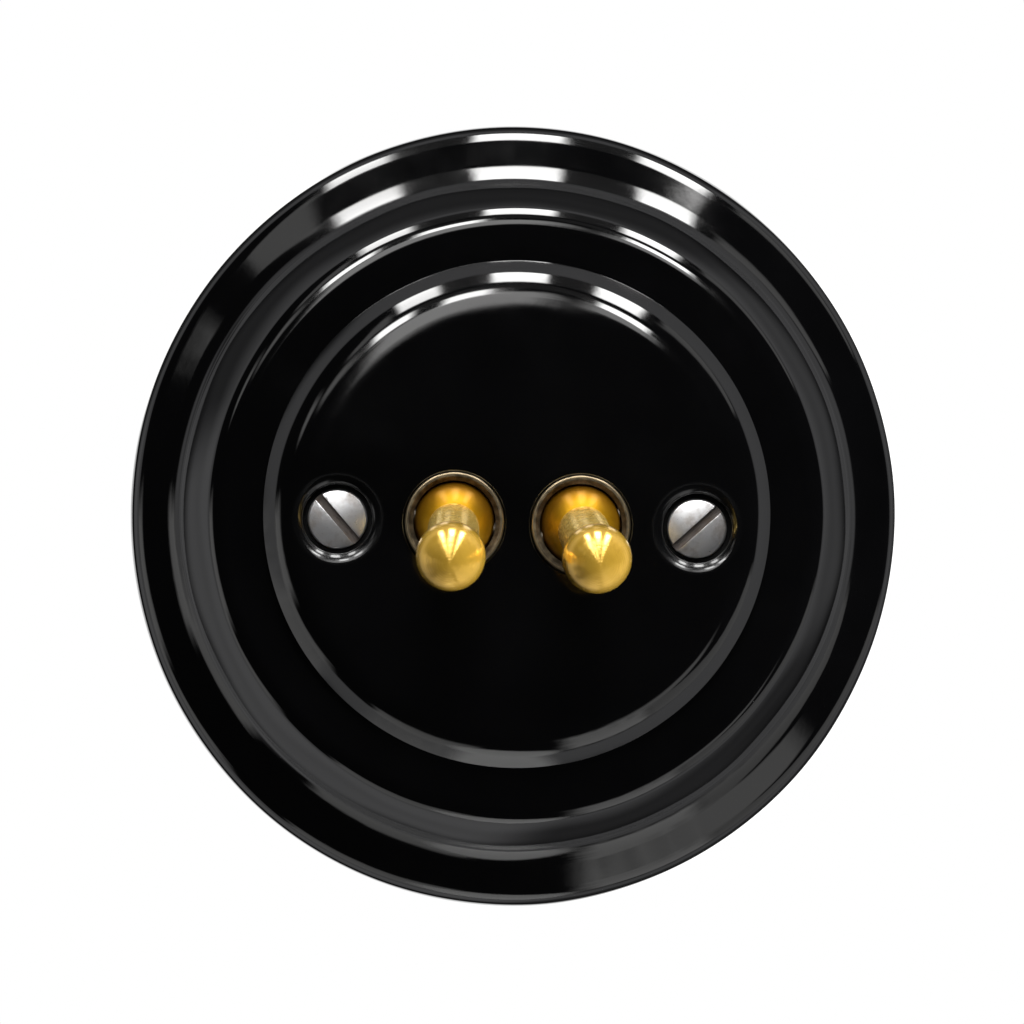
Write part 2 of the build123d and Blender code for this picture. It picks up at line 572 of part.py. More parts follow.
def common_terminal():
    """Brass saddle that carries the rocker's trunnion, with a post through the base and a terminal plate."""
    low_z, low_y = rocker_seat_z(), saddle_post_y()
    half_gap = ROCKER_W / 2 + SADDLE_PLAY
    half_out = half_gap + SADDLE_EAR
    ear_half = TRUNNION_D / 2 + 1.0
    saddle = block((-half_out, half_out), (-ear_half, low_y + CONTACT_T), (low_z - CONTACT_T, low_z))
    for side in (-1, 1):
        limits = sorted((side * half_gap, side * half_out))
        saddle += block(limits, (-ear_half, ear_half), (low_z - CONTACT_T, ROCKER_Z + 0.3 * TRUNNION_D))
    notch_r = TRUNNION_D / 2 + PIVOT_PLAY
    saddle -= Pos(Z=ROCKER_Z) * Rot(Y=90) * Cylinder(notch_r, 4 * half_out)
    saddle -= block((-2 * half_out, 2 * half_out), (-notch_r, notch_r), (ROCKER_Z, ROCKER_Z + TRUNNION_D))
    half = CONTACT_W / 2
    saddle += block((-half, half), (low_y, low_y + CONTACT_T), (BASE_Z - TERMINAL_T, low_z))
    plate_y = (MIDDLE_SCREW_Y - TERMINAL_L / 2 + 0.5, low_y + CONTACT_T)
    saddle += block((-TERMINAL_W / 2, TERMINAL_W / 2), plate_y, (BASE_Z - TERMINAL_T, BASE_Z))
    hole = rod(TERMINAL_SCREW_D / 2 + THREAD_PLAY, BASE_Z - TERMINAL_T - 1, BASE_Z + 1)
    return saddle - Pos(Y=MIDDLE_SCREW_Y) * hole


def rocker_seat_z():
    """Top of the saddle's floor, clear of the rocker's under side when it tilts."""
    return ROCKER_Z - TRUNNION_D / 2 - 0.6


def terminal_spots():
    """Screw places of the six terminals on the base."""
    rows = (END_SCREW_Y, MIDDLE_SCREW_Y, -END_SCREW_Y)
    return [(x, y) for name, x, turn in TOGGLES for y in rows]


def clamp_plate():
    """Square clamp under a terminal screw, with its seat at Z = 0 and its thickness along +Z."""
    half = TERMINAL_L / 2 - 0.4
    hole = rod(TERMINAL_SCREW_D / 2 + 0.15, -1, CLAMP_T + 1)
    return block((-half, half), (-half, half), (0, CLAMP_T)) - hole


def terminal_screw(turn):
    """Terminal screw with the under side of its head at Z = 0."""
    return slotted_screw(
        TERMINAL_SCREW_D, TERMINAL_SCREW_LENGTH, TERMINAL_SCREW_HEAD_D, TERMINAL_SCREW_HEAD_H, turn
    )


def at_back(depth):
    """Turn that lays a piece on the back of the base at the given depth below it."""
    return Pos(Z=BASE_Z - depth) * Rot(X=180)


def toggle_nodes(side, x, turn):
    """Moving and fixed pieces of one toggle by node name, in the face frame."""
    place = Pos(X=x) * Rot(Z=turn)
    pivot = place * Pos(Z=PIVOT_Z)
    lever = pivot * Rot(X=LEVER_TILT)
    rocker = Pos(x, 0, ROCKER_Z) * Rot(X=-ROCKER_TILT)
    return {
        f"{side}_bush": place * toggle_bush(),
        f"{side}_lever": lever * toggle_lever(),
        f"{side}_pivot_pin": pivot * pivot_pin(),
        f"{side}_spring": lever * lever_spring(),
        f"{side}_plunger": lever * lever_plunger(),
        f"{side}_rocker": rocker * contact_rocker(),
        f"{side}_rocker_tips": [rocker * tip for tip in rocker_tips()],
        f"{side}_common_terminal": Pos(X=x) * common_terminal(),
        f"{side}_upper_terminal": Pos(X=x) * end_contact(1),
        f"{side}_lower_terminal": Pos(X=x) * end_contact(-1),
    }


def all_nodes():
    """Every node of the switch by name, in the face frame."""
    earth = Pos(0, TAB_Y - STRAP_T, EARTH_SCREW_Z) * Rot(X=90)
    nodes = {
        "frame_ring": frame_ring(),
        "cover_disc": cover_disc(),
        "cover_screws": cover_screws(),
        "cover_pillars": cover_pillars(),
        "mounting_strap": mounting_strap(),
        "earth_clamp": earth * clamp_plate(),
        "earth_screw": earth * Pos(Z=CLAMP_T) * terminal_screw(20),
        "switch_body": switch_body(),
        "body_screws": body_screws(),
        "bush_nuts": [Pos(X=x) * Rot(Z=turn) * bush_nut() for name, x, turn in TOGGLES],
        "terminal_base": terminal_base(),
        "base_screws": base_screws(),
        "fixed_tips": fixed_tips(),
    }
    for side, x, turn in TOGGLES:
        nodes.update(toggle_nodes(side, x, turn))
    spots = terminal_spots()
    clamp, screw = at_back(TERMINAL_T) * clamp_plate(), at_back(TERMINAL_T + CLAMP_T) * terminal_screw(15)
    nodes["terminal_clamps"] = [Pos(x, y, 0) * clamp for x, y in spots]
    nodes["terminal_screws"] = [Pos(x, y, 0) * screw for x, y in spots]
    return nodes


os.makedirs("parts", exist_ok=True)
for name, shape in all_nodes().items():
    solids = shape if isinstance(shape, list) else [shape]
    stood = [Rot(X=90) * solid for solid in solids]
    whole = stood[0] if len(stood) == 1 else Compound(children=stood)
    export_step(whole, f"parts/{name}.step")
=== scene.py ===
import json
from math import asin, atan2, cos, degrees, hypot, pi, radians, sin, sqrt, tan

import bmesh
import bpy
from mathutils import Matrix, Quaternion, Vector


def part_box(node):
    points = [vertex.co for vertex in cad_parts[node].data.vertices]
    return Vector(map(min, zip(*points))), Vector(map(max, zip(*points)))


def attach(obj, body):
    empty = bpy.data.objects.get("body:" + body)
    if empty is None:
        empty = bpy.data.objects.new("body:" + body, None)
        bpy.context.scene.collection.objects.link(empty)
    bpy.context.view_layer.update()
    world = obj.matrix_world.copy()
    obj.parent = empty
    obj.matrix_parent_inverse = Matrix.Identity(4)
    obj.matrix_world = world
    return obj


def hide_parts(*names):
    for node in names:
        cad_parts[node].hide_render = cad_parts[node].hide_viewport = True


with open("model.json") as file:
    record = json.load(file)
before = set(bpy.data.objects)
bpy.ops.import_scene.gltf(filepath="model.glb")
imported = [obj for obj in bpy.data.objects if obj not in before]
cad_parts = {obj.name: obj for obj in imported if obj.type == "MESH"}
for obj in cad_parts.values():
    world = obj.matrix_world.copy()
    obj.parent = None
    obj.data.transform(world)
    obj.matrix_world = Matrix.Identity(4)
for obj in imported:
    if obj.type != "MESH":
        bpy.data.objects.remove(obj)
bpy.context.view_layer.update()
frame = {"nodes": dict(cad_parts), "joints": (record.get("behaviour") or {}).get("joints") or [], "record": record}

# Black glazed porcelain roller shutter switch, seen face on against white.
# Turned outlines are pairs of radius and height in millimetres, with the height measured out of the wall.
# The row frame is in metres: X right, Z up, and the switch faces -Y.
MM = 0.001
STAND = Matrix.Rotation(radians(90), 4, "X")
MILLIMETRES = Matrix.Scale(MM, 4)

# Places that the frame gives
FRAME_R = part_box("frame_ring")[1].x / MM
LEDGE = -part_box("frame_ring")[0].y / MM
COVER_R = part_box("cover_disc")[1].x / MM
FACE = -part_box("cover_disc")[0].y / MM
SPIGOT_LOW = -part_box("cover_disc")[1].y / MM
RING = -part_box("left_bush")[0].y / MM
BUSH_BACK = -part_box("left_bush")[1].y / MM
LIFT = (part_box("frame_ring")[0].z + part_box("frame_ring")[1].z) / 2
PORCELAIN = Matrix.Translation((0, 0, LIFT)) @ STAND @ MILLIMETRES
JOINTS = {joint["name"]: joint for joint in frame["joints"]}

# Porcelain frame skin
FOOT_ROUND = 0.8
ROLL_R = 3.8
SLOPE_TILT = 26.0
SLOPE_RUN = 3.16
COVE_R = 7.3
COVE_TILT = 50.0
WALL_TILT = 60.0
WALL_RUN = 6.92
WALL_BULGE = 6.0
RIDGE_R = 3.2
FRAME_WALL = 4.4
FOOT_WIDTH = 8.5
FOOT_LOWEST = 0.4
OPENING_ROUND = 0.6
LEDGE_SEAT = 3.3

# Porcelain cover
CROWN_START = 26.58
COVER_WALL_TILT = 50.0
COVER_ROUND_R = 5.2
LIP_ROUND = 0.25
SHOULDER_R = 22.0
SHOULDER_TILT = 5.5
COVER_T = 5.0
SPIGOT_PLAY = 0.4
SPIGOT_WALL = 2.4

# Screw wells, toggle holes and bosses in the cover
SCREW_HEAD_R = 3.75
SCREW_REACH = (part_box("cover_screws")[1].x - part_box("cover_screws")[0].x) / 2 / MM - SCREW_HEAD_R
SCREW_XS = (-SCREW_REACH, SCREW_REACH)
SCREW_WELL_R = 5.5
SCREW_WELL_DEPTH = 3.5
SCREW_WELL_RIM = 1.7
RIM_BREAK = 8.0
RIM_LEAN = 52.0
RIM_TURN = 0.2
RIM_SOFT = 0.5
SCREW_HOLE_R = 2.4
# Depth below the cover's face at which grime and painted shade begin in the screw slots, and the depth over which
# they come in
SLOT_GRIME_SHADE = 1.7
SLOT_GRIME_SHADE_FADE = 0.5
BOSS_R = 5.6
BOSS_T = 3.2
BOSS_SINK = 0.5
CUT_PAST = 1.0
TOGGLE_HOLE_R = 6.5
TOGGLE_HOLE_RIM = 0.2

# Toggle bushes and levers
BUSH_R = 6.2
BUSH_BORE_R = 5.15
BUSH_EDGE = 0.2
BUSH_LAND = 0.3
BUSH_BEVEL = 0.5
RUBBED_WIDTH = 0.32
RUBBED_HEIGHT = 0.4
FLANGE_R = 7.4
FLANGE_T = 1.2
PIN_R = 0.95
DOME_R = 5.05
NECK_R = 3.22
KNOB_R = 4.295
KNOB_REACH = 19.6
TAIL_R = 2.0
TAIL_LENGTH = 16.9
SPRING_BORE_R = 1.5
SPRING_TOP = 4.0

# Fineness of round pieces
STEPS_ROUND = 288
STEPS_SMALL = 128
STEPS_PIN = 48
STEPS_SCREW = 72
ARC_STEP = 3.0
RUN_STEP = 0.8
EDGE_STEP = 0.06
SAME_POINT = 1e-6
MERGE = 0.002

# Sharpest angle in degrees that is still shaded smooth
SMOOTH_BELOW = {"frame": 38.0, "cover": 6.0, "bush": 50.0, "lever": 42.0, "screws": 35.0}

# Turning marks on knobs and necks: pitch and half depth of two sets of grooves, the steps between points,
# how much coarser they are on necks, and where and how far they are polished away on knobs
GROOVES = ((0.1, 0.0044), (0.137, 0.006))
MARK_STEP = 0.22
NECK_STEP = 0.07
STEPS_LEVER = 96
NECK_COARSE = 2.5
WEAR_START = 0.1
WEAR_SPAN = 0.4
WEAR_MOST = 0.8

# Unevenness of hand-finished clay: size of each wave, its count round the piece, its shift, and the turn of
# the shift with radius and with height
WAVES = (
    (0.05, 3, 2.1, 0.11, 0.0),
    (0.035, 5, 0.3, -0.25, 0.0),
    (0.022, 9, 1.1, 0.0, 0.4),
    (0.012, 16, 0.0, 0.5, 0.0),
)
WAVE_DROP = 0.1

# Where the unevenness comes up, as a start and a span in radius or height, and its share across and along the
# height. The frame's foot is also pulled oval, and the cover's waves are turned against the frame's.
FRAME_LOOSE, FRAME_LOOSE_RISE = (37.0, 4.0), (0.0, 1.5)
FRAME_WAVE_RISE = 0.6
OVAL_FOOT, OVAL_LOOSE = 0.45, (43.0, 5.0)
COVER_LOOSE, COVER_LOOSE_RISE = (26.5, 3.0), (0.5, 1.0)
COVER_WAVE, COVER_WAVE_RISE = 0.6, 0.5
COVER_WAVE_TURN = 1.3


class Wire:
    """A socket of a node tree, or the tree alone. Arithmetic on it adds Math nodes."""

    def __init__(self, tree, socket=None):
        self.tree = tree
        self.socket = socket

    def node(self, kind, settings=None, inputs=None, outlet=0):
        """Adds a node: its settings first, then the values or links of its sockets."""
        made = self.tree.nodes.new(kind)
        for name, value in (settings or {}).items():
            setattr(made, name, value)
        for name, value in (inputs or {}).items():
            self.feed(made.inputs[name], value)
        return Wire(self.tree, made.outputs[outlet])

    def feed(self, socket, value):
        """Links a wire to a socket, or several wires to a socket that takes them, or sets a plain value."""
        if isinstance(value, Wire):
            self.tree.links.new(value.socket, socket)
        elif isinstance(value, list):
            for each in value:
                self.tree.links.new(each.socket, socket)
        else:
            socket.default_value = value

    def math(self, operation, *values):
        """Adds a Math node."""
        return self.node("ShaderNodeMath", {"operation": operation}, dict(enumerate(values)))

    def __add__(self, other):
        return self.math("ADD", self, other)

    def __sub__(self, other):
        return self.math("SUBTRACT", self, other)

    def __rsub__(self, other):
        return self.math("SUBTRACT", other, self)

    def __mul__(self, other):
        return self.math("MULTIPLY", self, other)

    def __neg__(self):
        return self.math("MULTIPLY", self, -1.0)

    __radd__ = __add__
    __rmul__ = __mul__


def smooth_step(value, low, high):
    """Share from 0 to 1 as value goes from low to high."""
    return value.node(
        "ShaderNodeMapRange",
        {"interpolation_type": "SMOOTHSTEP"},
        {"Value": value, "From Min": low, "From Max": high},
    )


def mixed(low, high, share):
    """Colour between two colours, by a share."""
    colours = [c if isinstance(c, Wire) else (*c, 1.0) for c in (low, high)]
    return share.node("ShaderNodeMix", {"data_type": "RGBA"}, {0: share, 6: colours[0], 7: colours[1]}, 2)


def new_finish(name, sockets):
    """New material with constant values on its shader, as (material, shader, wire of its tree)."""
    finish = bpy.data.materials.new(name)
    finish.use_nodes = True
    shader = finish.node_tree.nodes["Principled BSDF"]
    for socket, value in sockets.items():
        shader.inputs[socket].default_value = value
    return finish, shader, Wire(finish.node_tree)


def place_of(wire):
    """Place on the piece, in metres."""
    return wire.node("ShaderNodeTexCoord", outlet=3)


def mark_of(wire, name):
    """Value of a mark that the piece's points carry."""
    return wire.node("ShaderNodeAttribute", {"attribute_name": name}, outlet=2)


def noise(wire, place, size, detail=3.0, rough=0.5):
    """Cloudy value from 0 to 1 whose patches are about size millimetres across."""
    return wire.node(
        "ShaderNodeTexNoise",
        None,
        {"Vector": place, "Scale": 1.0 / (size * MM), "Detail": detail, "Roughness": rough},
    )


def bumped(wire, shader, height, depth):
    """Raises the shader's surface by a height from 0 to 1 that stands for a depth in millimetres."""
    bump = wire.node("ShaderNodeBump", None, {"Strength": 1.0, "Distance": depth * MM, "Height": height})
    wire.feed(shader.inputs["Normal"], bump)


def black_glaze():
    """Deep black glaze with wiped smears, duller in the screw wells, and a bare clay foot on the wall."""
    finish, shader, wire = new_finish("black_glaze", {"IOR": 1.5, "Coat Roughness": 0.04, "Coat IOR": 1.5})
    place = place_of(wire)
    across, depth, up = [wire.node("ShaderNodeSeparateXYZ", None, {0: place}, axis) for axis in range(3)]
    grain = noise(wire, place, 1.2)
    bare = smooth_step(depth + grain * (0.3 * MM), -0.45 * MM, -0.3 * MM)
    pool = noise(wire, place, 9.0)
    glaze = mixed((0.0006, 0.0006, 0.0007), (0.0016, 0.0016, 0.0018), pool)
    clay = mixed((0.42, 0.37, 0.31), (0.62, 0.57, 0.5), grain)
    wire.feed(shader.inputs["Base Color"], mixed(glaze, clay, bare))
    smears = smooth_step(noise(wire, place, 14.0, 5.0, 0.6), 0.45, 0.75)
    beside = wire.math("ABSOLUTE", across) - SCREW_REACH * MM
    from_screw = wire.node("ShaderNodeCombineXYZ", None, {0: beside, 1: up})
    from_screw = wire.node("ShaderNodeVectorMath", {"operation": "LENGTH"}, {0: from_screw}, 1)
    in_well = smooth_step(from_screw, (SCREW_WELL_R + RIM_SOFT) * MM, SCREW_WELL_R * MM)
    wire.feed(shader.inputs["Roughness"], 0.07 + 0.07 * smears + 0.7 * bare + 0.15 * in_well)
    wire.feed(shader.inputs["Coat Weight"], 1.0 - bare - 0.35 * in_well)
    bumped(wire, shader, noise(wire, place, 5.0, 1.0) * 0.75 + noise(wire, place, 1.0, 1.0) * 0.25, 0.016)
    return finish


def polished_brass():
    """Turned brass: a bright knob, a grained neck and an amber dome with painted shade that darkens it towards its
    edge.
    """
    lacquer = {"Specular IOR Level": 0.3, "Coat Roughness": 0.14, "Coat IOR": 1.7}
    finish, shader, wire = new_finish("polished_brass", lacquer)
    place = place_of(wire)
    on_neck, on_knob, painted_dome_shade = [mark_of(wire, name) for name in ("neck", "knob", "painted_dome_shade")]
    tarnish = smooth_step(noise(wire, place, 2.6, 6.0, 0.65), 0.45, 0.75)
    fine = noise(wire, place, 0.25, 4.0, 0.7)
    colour = mixed((0.54, 0.28, 0.008), (0.35, 0.165, 0.004), tarnish * 0.7)
    # Painted shade: the dome darkens towards its widest ring, where it sinks into the bush.
    colour = mixed(colour, (0.2, 0.083, 0.002), painted_dome_shade * 0.95)
    grained = mixed((1.0, 0.74, 0.22), (0.66, 0.4, 0.06), smooth_step(fine, 0.42, 0.6))
    colour = mixed(colour, grained, on_neck)
    colour = mixed(colour, (1.0, 0.6, 0.07), on_knob * (1 - 0.2 * tarnish))
    wire.feed(shader.inputs["Base Color"], colour)
    wire.feed(shader.inputs["Metallic"], 0.8 - 0.15 * on_knob - 0.15 * on_neck)
    wire.feed(shader.inputs["Roughness"], 0.44 - 0.29 * on_knob - 0.2 * on_neck + 0.05 * tarnish)
    wire.feed(shader.inputs["Coat Weight"], 0.06 + 0.94 * on_knob + 0.2 * on_neck)
    bumped(wire, shader, fine * (0.3 * on_neck + 0.05), 0.03)
    return finish


def aged_brass():
    """Bush metal gone brown and grey, rubbed bright on its edges."""
    finish, shader, wire = new_finish("aged_brass", {})
    place = place_of(wire)
    edge = mark_of(wire, "edge")
    stain = noise(wire, place, 1.1, 6.0, 0.7)
    rubbed = smooth_step(edge + stain * 0.6, 0.85, 1.25)
    dull = mixed((0.045, 0.036, 0.024), (0.2, 0.16, 0.1), smooth_step(stain, 0.35, 0.7))
    wire.feed(shader.inputs["Base Color"], mixed(dull, (0.3, 0.24, 0.15), rubbed))
    wire.feed(shader.inputs["Metallic"], 0.7 + 0.25 * rubbed)
    wire.feed(shader.inputs["Roughness"], 0.4 - 0.14 * rubbed + 0.12 * stain)
    bumped(wire, shader, noise(wire, place, 0.5, 4.0, 0.6), 0.02)
    return finish


def satin_steel():
    """Worn steel of the cover screws with brownish stains, and grime with painted shade deep in the slots."""
    finish, shader, wire = new_finish("satin_steel", {"Metallic": 0.88})
    place = place_of(wire)
    stain = smooth_step(noise(wire, place, 2.2, 5.0, 0.6), 0.42, 0.72)
    fine = noise(wire, place, 0.3, 4.0, 0.7)
    colour = mixed((0.7, 0.7, 0.71), (0.38, 0.35, 0.33), stain)
    depth = wire.node("ShaderNodeSeparateXYZ", None, {0: place}, 1)
    # Grime and painted shade: the steel is darker deep in the slots.
    deep = (SLOT_GRIME_SHADE - FACE) * MM, (SLOT_GRIME_SHADE + SLOT_GRIME_SHADE_FADE - FACE) * MM
    grime_and_shade = smooth_step(depth + fine * (0.3 * MM), *deep)
    wire.feed(shader.inputs["Base Color"], mixed(colour, (0.11, 0.083, 0.065), grime_and_shade * 0.85))
    wire.feed(shader.inputs["Roughness"], 0.24 + 0.12 * stain + 0.1 * fine + 0.12 * grime_and_shade)
    bumped(wire, shader, fine, 0.012)
    return finish


def plain_metal(name, bright, dull, roughness, patch):
    """Metal of a hidden piece with cloudy tarnish and fine marks."""
    finish, shader, wire = new_finish(name, {"Metallic": 1.0})
    place = place_of(wire)
    cloud = smooth_step(noise(wire, place, patch, 5.0, 0.6), 0.35, 0.7)
    fine = noise(wire, place, 0.4, 3.0, 0.6)
    wire.feed(shader.inputs["Base Color"], mixed(bright, dull, cloud))
    wire.feed(shader.inputs["Roughness"], roughness + 0.14 * cloud + 0.08 * fine)
    bumped(wire, shader, fine, 0.01)
    return finish


def zinc_steel():
    """Zinc plated steel with a faint spangle."""
    finish, shader, wire = new_finish("zinc_steel", {"Metallic": 1.0})
    place = place_of(wire)
    cell = wire.node("ShaderNodeTexVoronoi", None, {"Vector": place, "Scale": 1 / (2.4 * MM)}, 1)
    spangle = wire.node("ShaderNodeSeparateColor", None, {0: cell})
    cloud = noise(wire, place, 12.0, 5.0, 0.6)
    colour = mixed((0.66, 0.67, 0.68), (0.5, 0.51, 0.53), spangle)
    wire.feed(shader.inputs["Base Color"], mixed(colour, (0.44, 0.43, 0.4), smooth_step(cloud, 0.5, 0.8)))
    wire.feed(shader.inputs["Roughness"], 0.28 + 0.1 * spangle + 0.12 * cloud)
    bumped(wire, shader, noise(wire, place, 0.6, 3.0), 0.008)
    return finish


def moulded_body():
    """Dark brown moulded resin with a fine mould grain and dusty bloom."""
    finish, shader, wire = new_finish("moulded_body", {"IOR": 1.5})
    place = place_of(wire)
    bloom = smooth_step(noise(wire, place, 7.0, 5.0, 0.6), 0.45, 0.8)
    swirl = noise(wire, place, 2.5, 6.0, 0.65)
    colour = mixed((0.032, 0.022, 0.016), (0.07, 0.05, 0.036), swirl)
    wire.feed(shader.inputs["Base Color"], mixed(colour, (0.12, 0.1, 0.085), bloom * 0.5))
    wire.feed(shader.inputs["Roughness"], 0.32 + 0.2 * bloom)
    bumped(wire, shader, noise(wire, place, 0.35, 2.0), 0.01)
    return finish


FINISHES = {
    "black_glaze": black_glaze(),
    "satin_steel": satin_steel(),
    "zinc_steel": zinc_steel(),
    "polished_brass": polished_brass(),
    "aged_brass": aged_brass(),
    "nickel": plain_metal("nickel", (0.64, 0.61, 0.55), (0.45, 0.42, 0.37), 0.26, 4.0),
    "pin_steel": plain_metal("pin_steel", (0.24, 0.22, 0.19), (0.12, 0.1, 0.08), 0.4, 3.0),
    "terminal_brass": plain_metal("terminal_brass", (0.76, 0.56, 0.25), (0.46, 0.31, 0.13), 0.26, 5.0),
    "rocker_copper": plain_metal("rocker_copper", (0.78, 0.42, 0.26), (0.44, 0.22, 0.13), 0.28, 3.0),
    "contact_silver": plain_metal("contact_silver", (0.86, 0.85, 0.82), (0.6, 0.58, 0.53), 0.22, 2.0),
    "moulded_body": moulded_body(),
    "plated_screw": plain_metal("plated_screw", (0.72, 0.67, 0.52), (0.5, 0.45, 0.32), 0.28, 3.0),
}


def share_of(value, low, span):
    """Share from 0 to 1 that a number has gone from low over a span."""
    return min(1.0, max(0.0, (value - low) / span))


def arc(centre, radius, start, end, step=ARC_STEP):
    """Points on an arc by its angle from the outward radius, both ends included."""
    count = max(2, round(abs(end - start) / step))
    turns = [radians(start + (end - start) * i / count) for i in range(count + 1)]
    return [(centre[0] + radius * cos(t), centre[1] + radius * sin(t)) for t in turns]


def straight(start, end):
    """Points on a straight run, close together at its two ends, both ends left out."""
    length = hypot(end[0] - start[0], end[1] - start[1])
    count = max(1, int(length / RUN_STEP))
    spots = [EDGE_STEP] + [length * i / count for i in range(1, count)] + [length - EDGE_STEP]
    return [
        (start[0] + (end[0] - start[0]) * s / length, start[1] + (end[1] - start[1]) * s / length)
        for s in spots if length > 2 * EDGE_STEP
    ]


def joined(*runs):
    """One outline from several runs, with a straight run across each gap between them."""
    points = []
    for run in runs:
        if points and hypot(run[0][0] - points[-1][0], run[0][1] - points[-1][1]) > SAME_POINT:
            points += straight(points[-1], run[0])
            points += run
        else:
            points += run[1:] if points else run
    return points


def frame_outline():
    """Closed outline of the frame: glazed skin from the foot to the ledge, then the hollow back."""
    roll = arc((FRAME_R - ROLL_R, FOOT_ROUND), ROLL_R, 0, 90 - SLOPE_TILT)
    lean = radians(SLOPE_TILT)
    slope_end = (roll[-1][0] - SLOPE_RUN * cos(lean), roll[-1][1] + SLOPE_RUN * sin(lean))
    cove_centre = (slope_end[0] + COVE_R * sin(lean), slope_end[1] + COVE_R * cos(lean))
    cove = arc(cove_centre, COVE_R, 270 - SLOPE_TILT, 270 - COVE_TILT, 1.5)
    steep = radians(WALL_TILT)
    crease = cove[-1]
    high, low = WALL_TILT - WALL_BULGE, WALL_TILT + WALL_BULGE
    rise = WALL_RUN + RIDGE_R * (cos(radians(high)) - cos(steep)) / sin(steep)
    wall_r = rise / (2 * sin(radians(WALL_BULGE)))
    wall_centre = (crease[0] - wall_r * sin(radians(low)), crease[1] - wall_r * cos(radians(low)))
    wall = arc(wall_centre, wall_r, 90 - low, 90 - high, 1)
    ridge_centre = (wall[-1][0] - RIDGE_R * sin(radians(high)), wall[-1][1] - RIDGE_R * cos(radians(high)))
    ridge = arc(ridge_centre, RIDGE_R, 90 - high, 90)
    opening_r = COVER_R - LEDGE_SEAT
    lip = arc((opening_r + OPENING_ROUND, LEDGE - OPENING_ROUND), OPENING_ROUND, 90, 180, 15)
    hollow_r = crease[0] - FRAME_WALL * sin(steep)
    hollow_low = crease[1] - FRAME_WALL * cos(steep)
    roof = LEDGE - FRAME_WALL
    roof_r = hollow_r - (roof - hollow_low) / tan(steep)
    foot_r = FRAME_R - FOOT_WIDTH
    foot_low = max(hollow_low - (foot_r - hollow_r) * tan(steep), FOOT_LOWEST)
    toe = arc((FRAME_R - FOOT_ROUND, FOOT_ROUND), FOOT_ROUND, -90, 0, 15)
    back = [[(opening_r, roof)], [(roof_r, roof)], [(foot_r, foot_low)], [(foot_r, 0)]]
    return joined(roll, cove, wall, ridge, lip, *back, toe[:-1])


def cover_outline():
    """Outline of the cover from the middle of its face, over its rim and along its back to the axis."""
    steep, gentle = radians(COVER_WALL_TILT), radians(SHOULDER_TILT)
    sag = (SHOULDER_R - COVER_ROUND_R) * (1 - cos(gentle))
    crown_centre = (CROWN_START, FACE - COVER_ROUND_R - sag)
    crown = arc(crown_centre, COVER_ROUND_R, 90 - SHOULDER_TILT, 90 - COVER_WALL_TILT, 2)
    shoulder_r = CROWN_START - (SHOULDER_R - COVER_ROUND_R) * sin(gentle)
    shoulder = arc((shoulder_r, FACE - SHOULDER_R), SHOULDER_R, 90, 90 - SHOULDER_TILT, 0.5)
    corner = crown[-1][1] - (COVER_R - crown[-1][0]) * tan(steep)
    bead_low = corner - LIP_ROUND * tan((pi / 2 - steep) / 2)
    bead = arc((COVER_R - LIP_ROUND, bead_low), LIP_ROUND, 90 - COVER_WALL_TILT, 0, 5)
    spigot_r = COVER_R - LEDGE_SEAT - SPIGOT_PLAY
    hollow_r = spigot_r - SPIGOT_WALL
    ceiling = FACE - COVER_T
    back = [
        [(COVER_R, LEDGE)], [(spigot_r, LEDGE)], [(spigot_r, SPIGOT_LOW)], [(hollow_r, SPIGOT_LOW)],
        [(hollow_r, ceiling)], [(0, ceiling)],
    ]
    return joined([(0, FACE)], shoulder, crown, bead, *back)


def well_outline(mouth, rim, low):
    """Outline of a cutter for a round hole with a rounded rim, by the radius of its mouth at the face."""
    start, lean = radians(RIM_BREAK), radians(RIM_LEAN)
    centre = (mouth + rim * sin(start), FACE - rim * cos(start))
    turn = min(RIM_TURN, rim)
    inner = (centre[0] - (rim - turn) * sin(lean), centre[1] + (rim - turn) * cos(lean))
    bend = arc(inner, turn, 180, 90 + RIM_LEAN, 5)
    flare = arc(centre, rim, 90 + RIM_LEAN, 90 + RIM_BREAK, 5)
    beyond = [(mouth + CUT_PAST, FACE + CUT_PAST * tan(start)), (0, FACE + CUT_PAST)]
    return [(0, low), (bend[0][0], low)] + bend + flare[1:] + beyond


def bush_outline():
    """Closed outline of a bush: bevelled ring in front, plain bore, flange behind."""
    edge = arc((BUSH_R - BUSH_EDGE, RING - BUSH_EDGE), BUSH_EDGE, 0, 90, 15)
    shoulder = BUSH_BACK + FLANGE_T
    land = (BUSH_R - BUSH_EDGE - BUSH_LAND, RING)
    bore = [[(BUSH_BORE_R, RING - BUSH_BEVEL)], [(BUSH_BORE_R, BUSH_BACK)]]
    flange = [[(FLANGE_R, BUSH_BACK)], [(FLANGE_R, shoulder)], [(BUSH_R, shoulder)]]
    return joined(edge, [land], *bore, *flange)


def lever_outline():
    """Outline of a lever about its pivot, from the spring bore round the tail and dome to the knob's tip."""
    dome_low = degrees(atan2(-sqrt(DOME_R**2 - TAIL_R**2), TAIL_R))
    dome_top = degrees(atan2(sqrt(DOME_R**2 - NECK_R**2), NECK_R))
    dome = arc((0, 0), DOME_R, dome_low, dome_top)
    knob_low = degrees(asin(-sqrt(KNOB_R**2 - NECK_R**2) / KNOB_R))
    knob = turning_marks(arc((0, KNOB_REACH), KNOB_R, knob_low, 90, MARK_STEP), 1.0, knob_wear)
    knob[-1] = (0, KNOB_REACH + KNOB_R)
    neck_low, neck_top = dome[-1][1] + EDGE_STEP, knob[0][1] - EDGE_STEP
    count = round((neck_top - neck_low) / NECK_STEP)
    neck = [(NECK_R, neck_low + (neck_top - neck_low) * i / count) for i in range(count + 1)]
    tail = [
        [(0, -SPRING_TOP)],
        [(SPRING_BORE_R, -SPRING_TOP)],
        [(SPRING_BORE_R, -TAIL_LENGTH)],
        [(TAIL_R, -TAIL_LENGTH)],
    ]
    return joined(*tail, dome, turning_marks(neck, NECK_COARSE), knob)


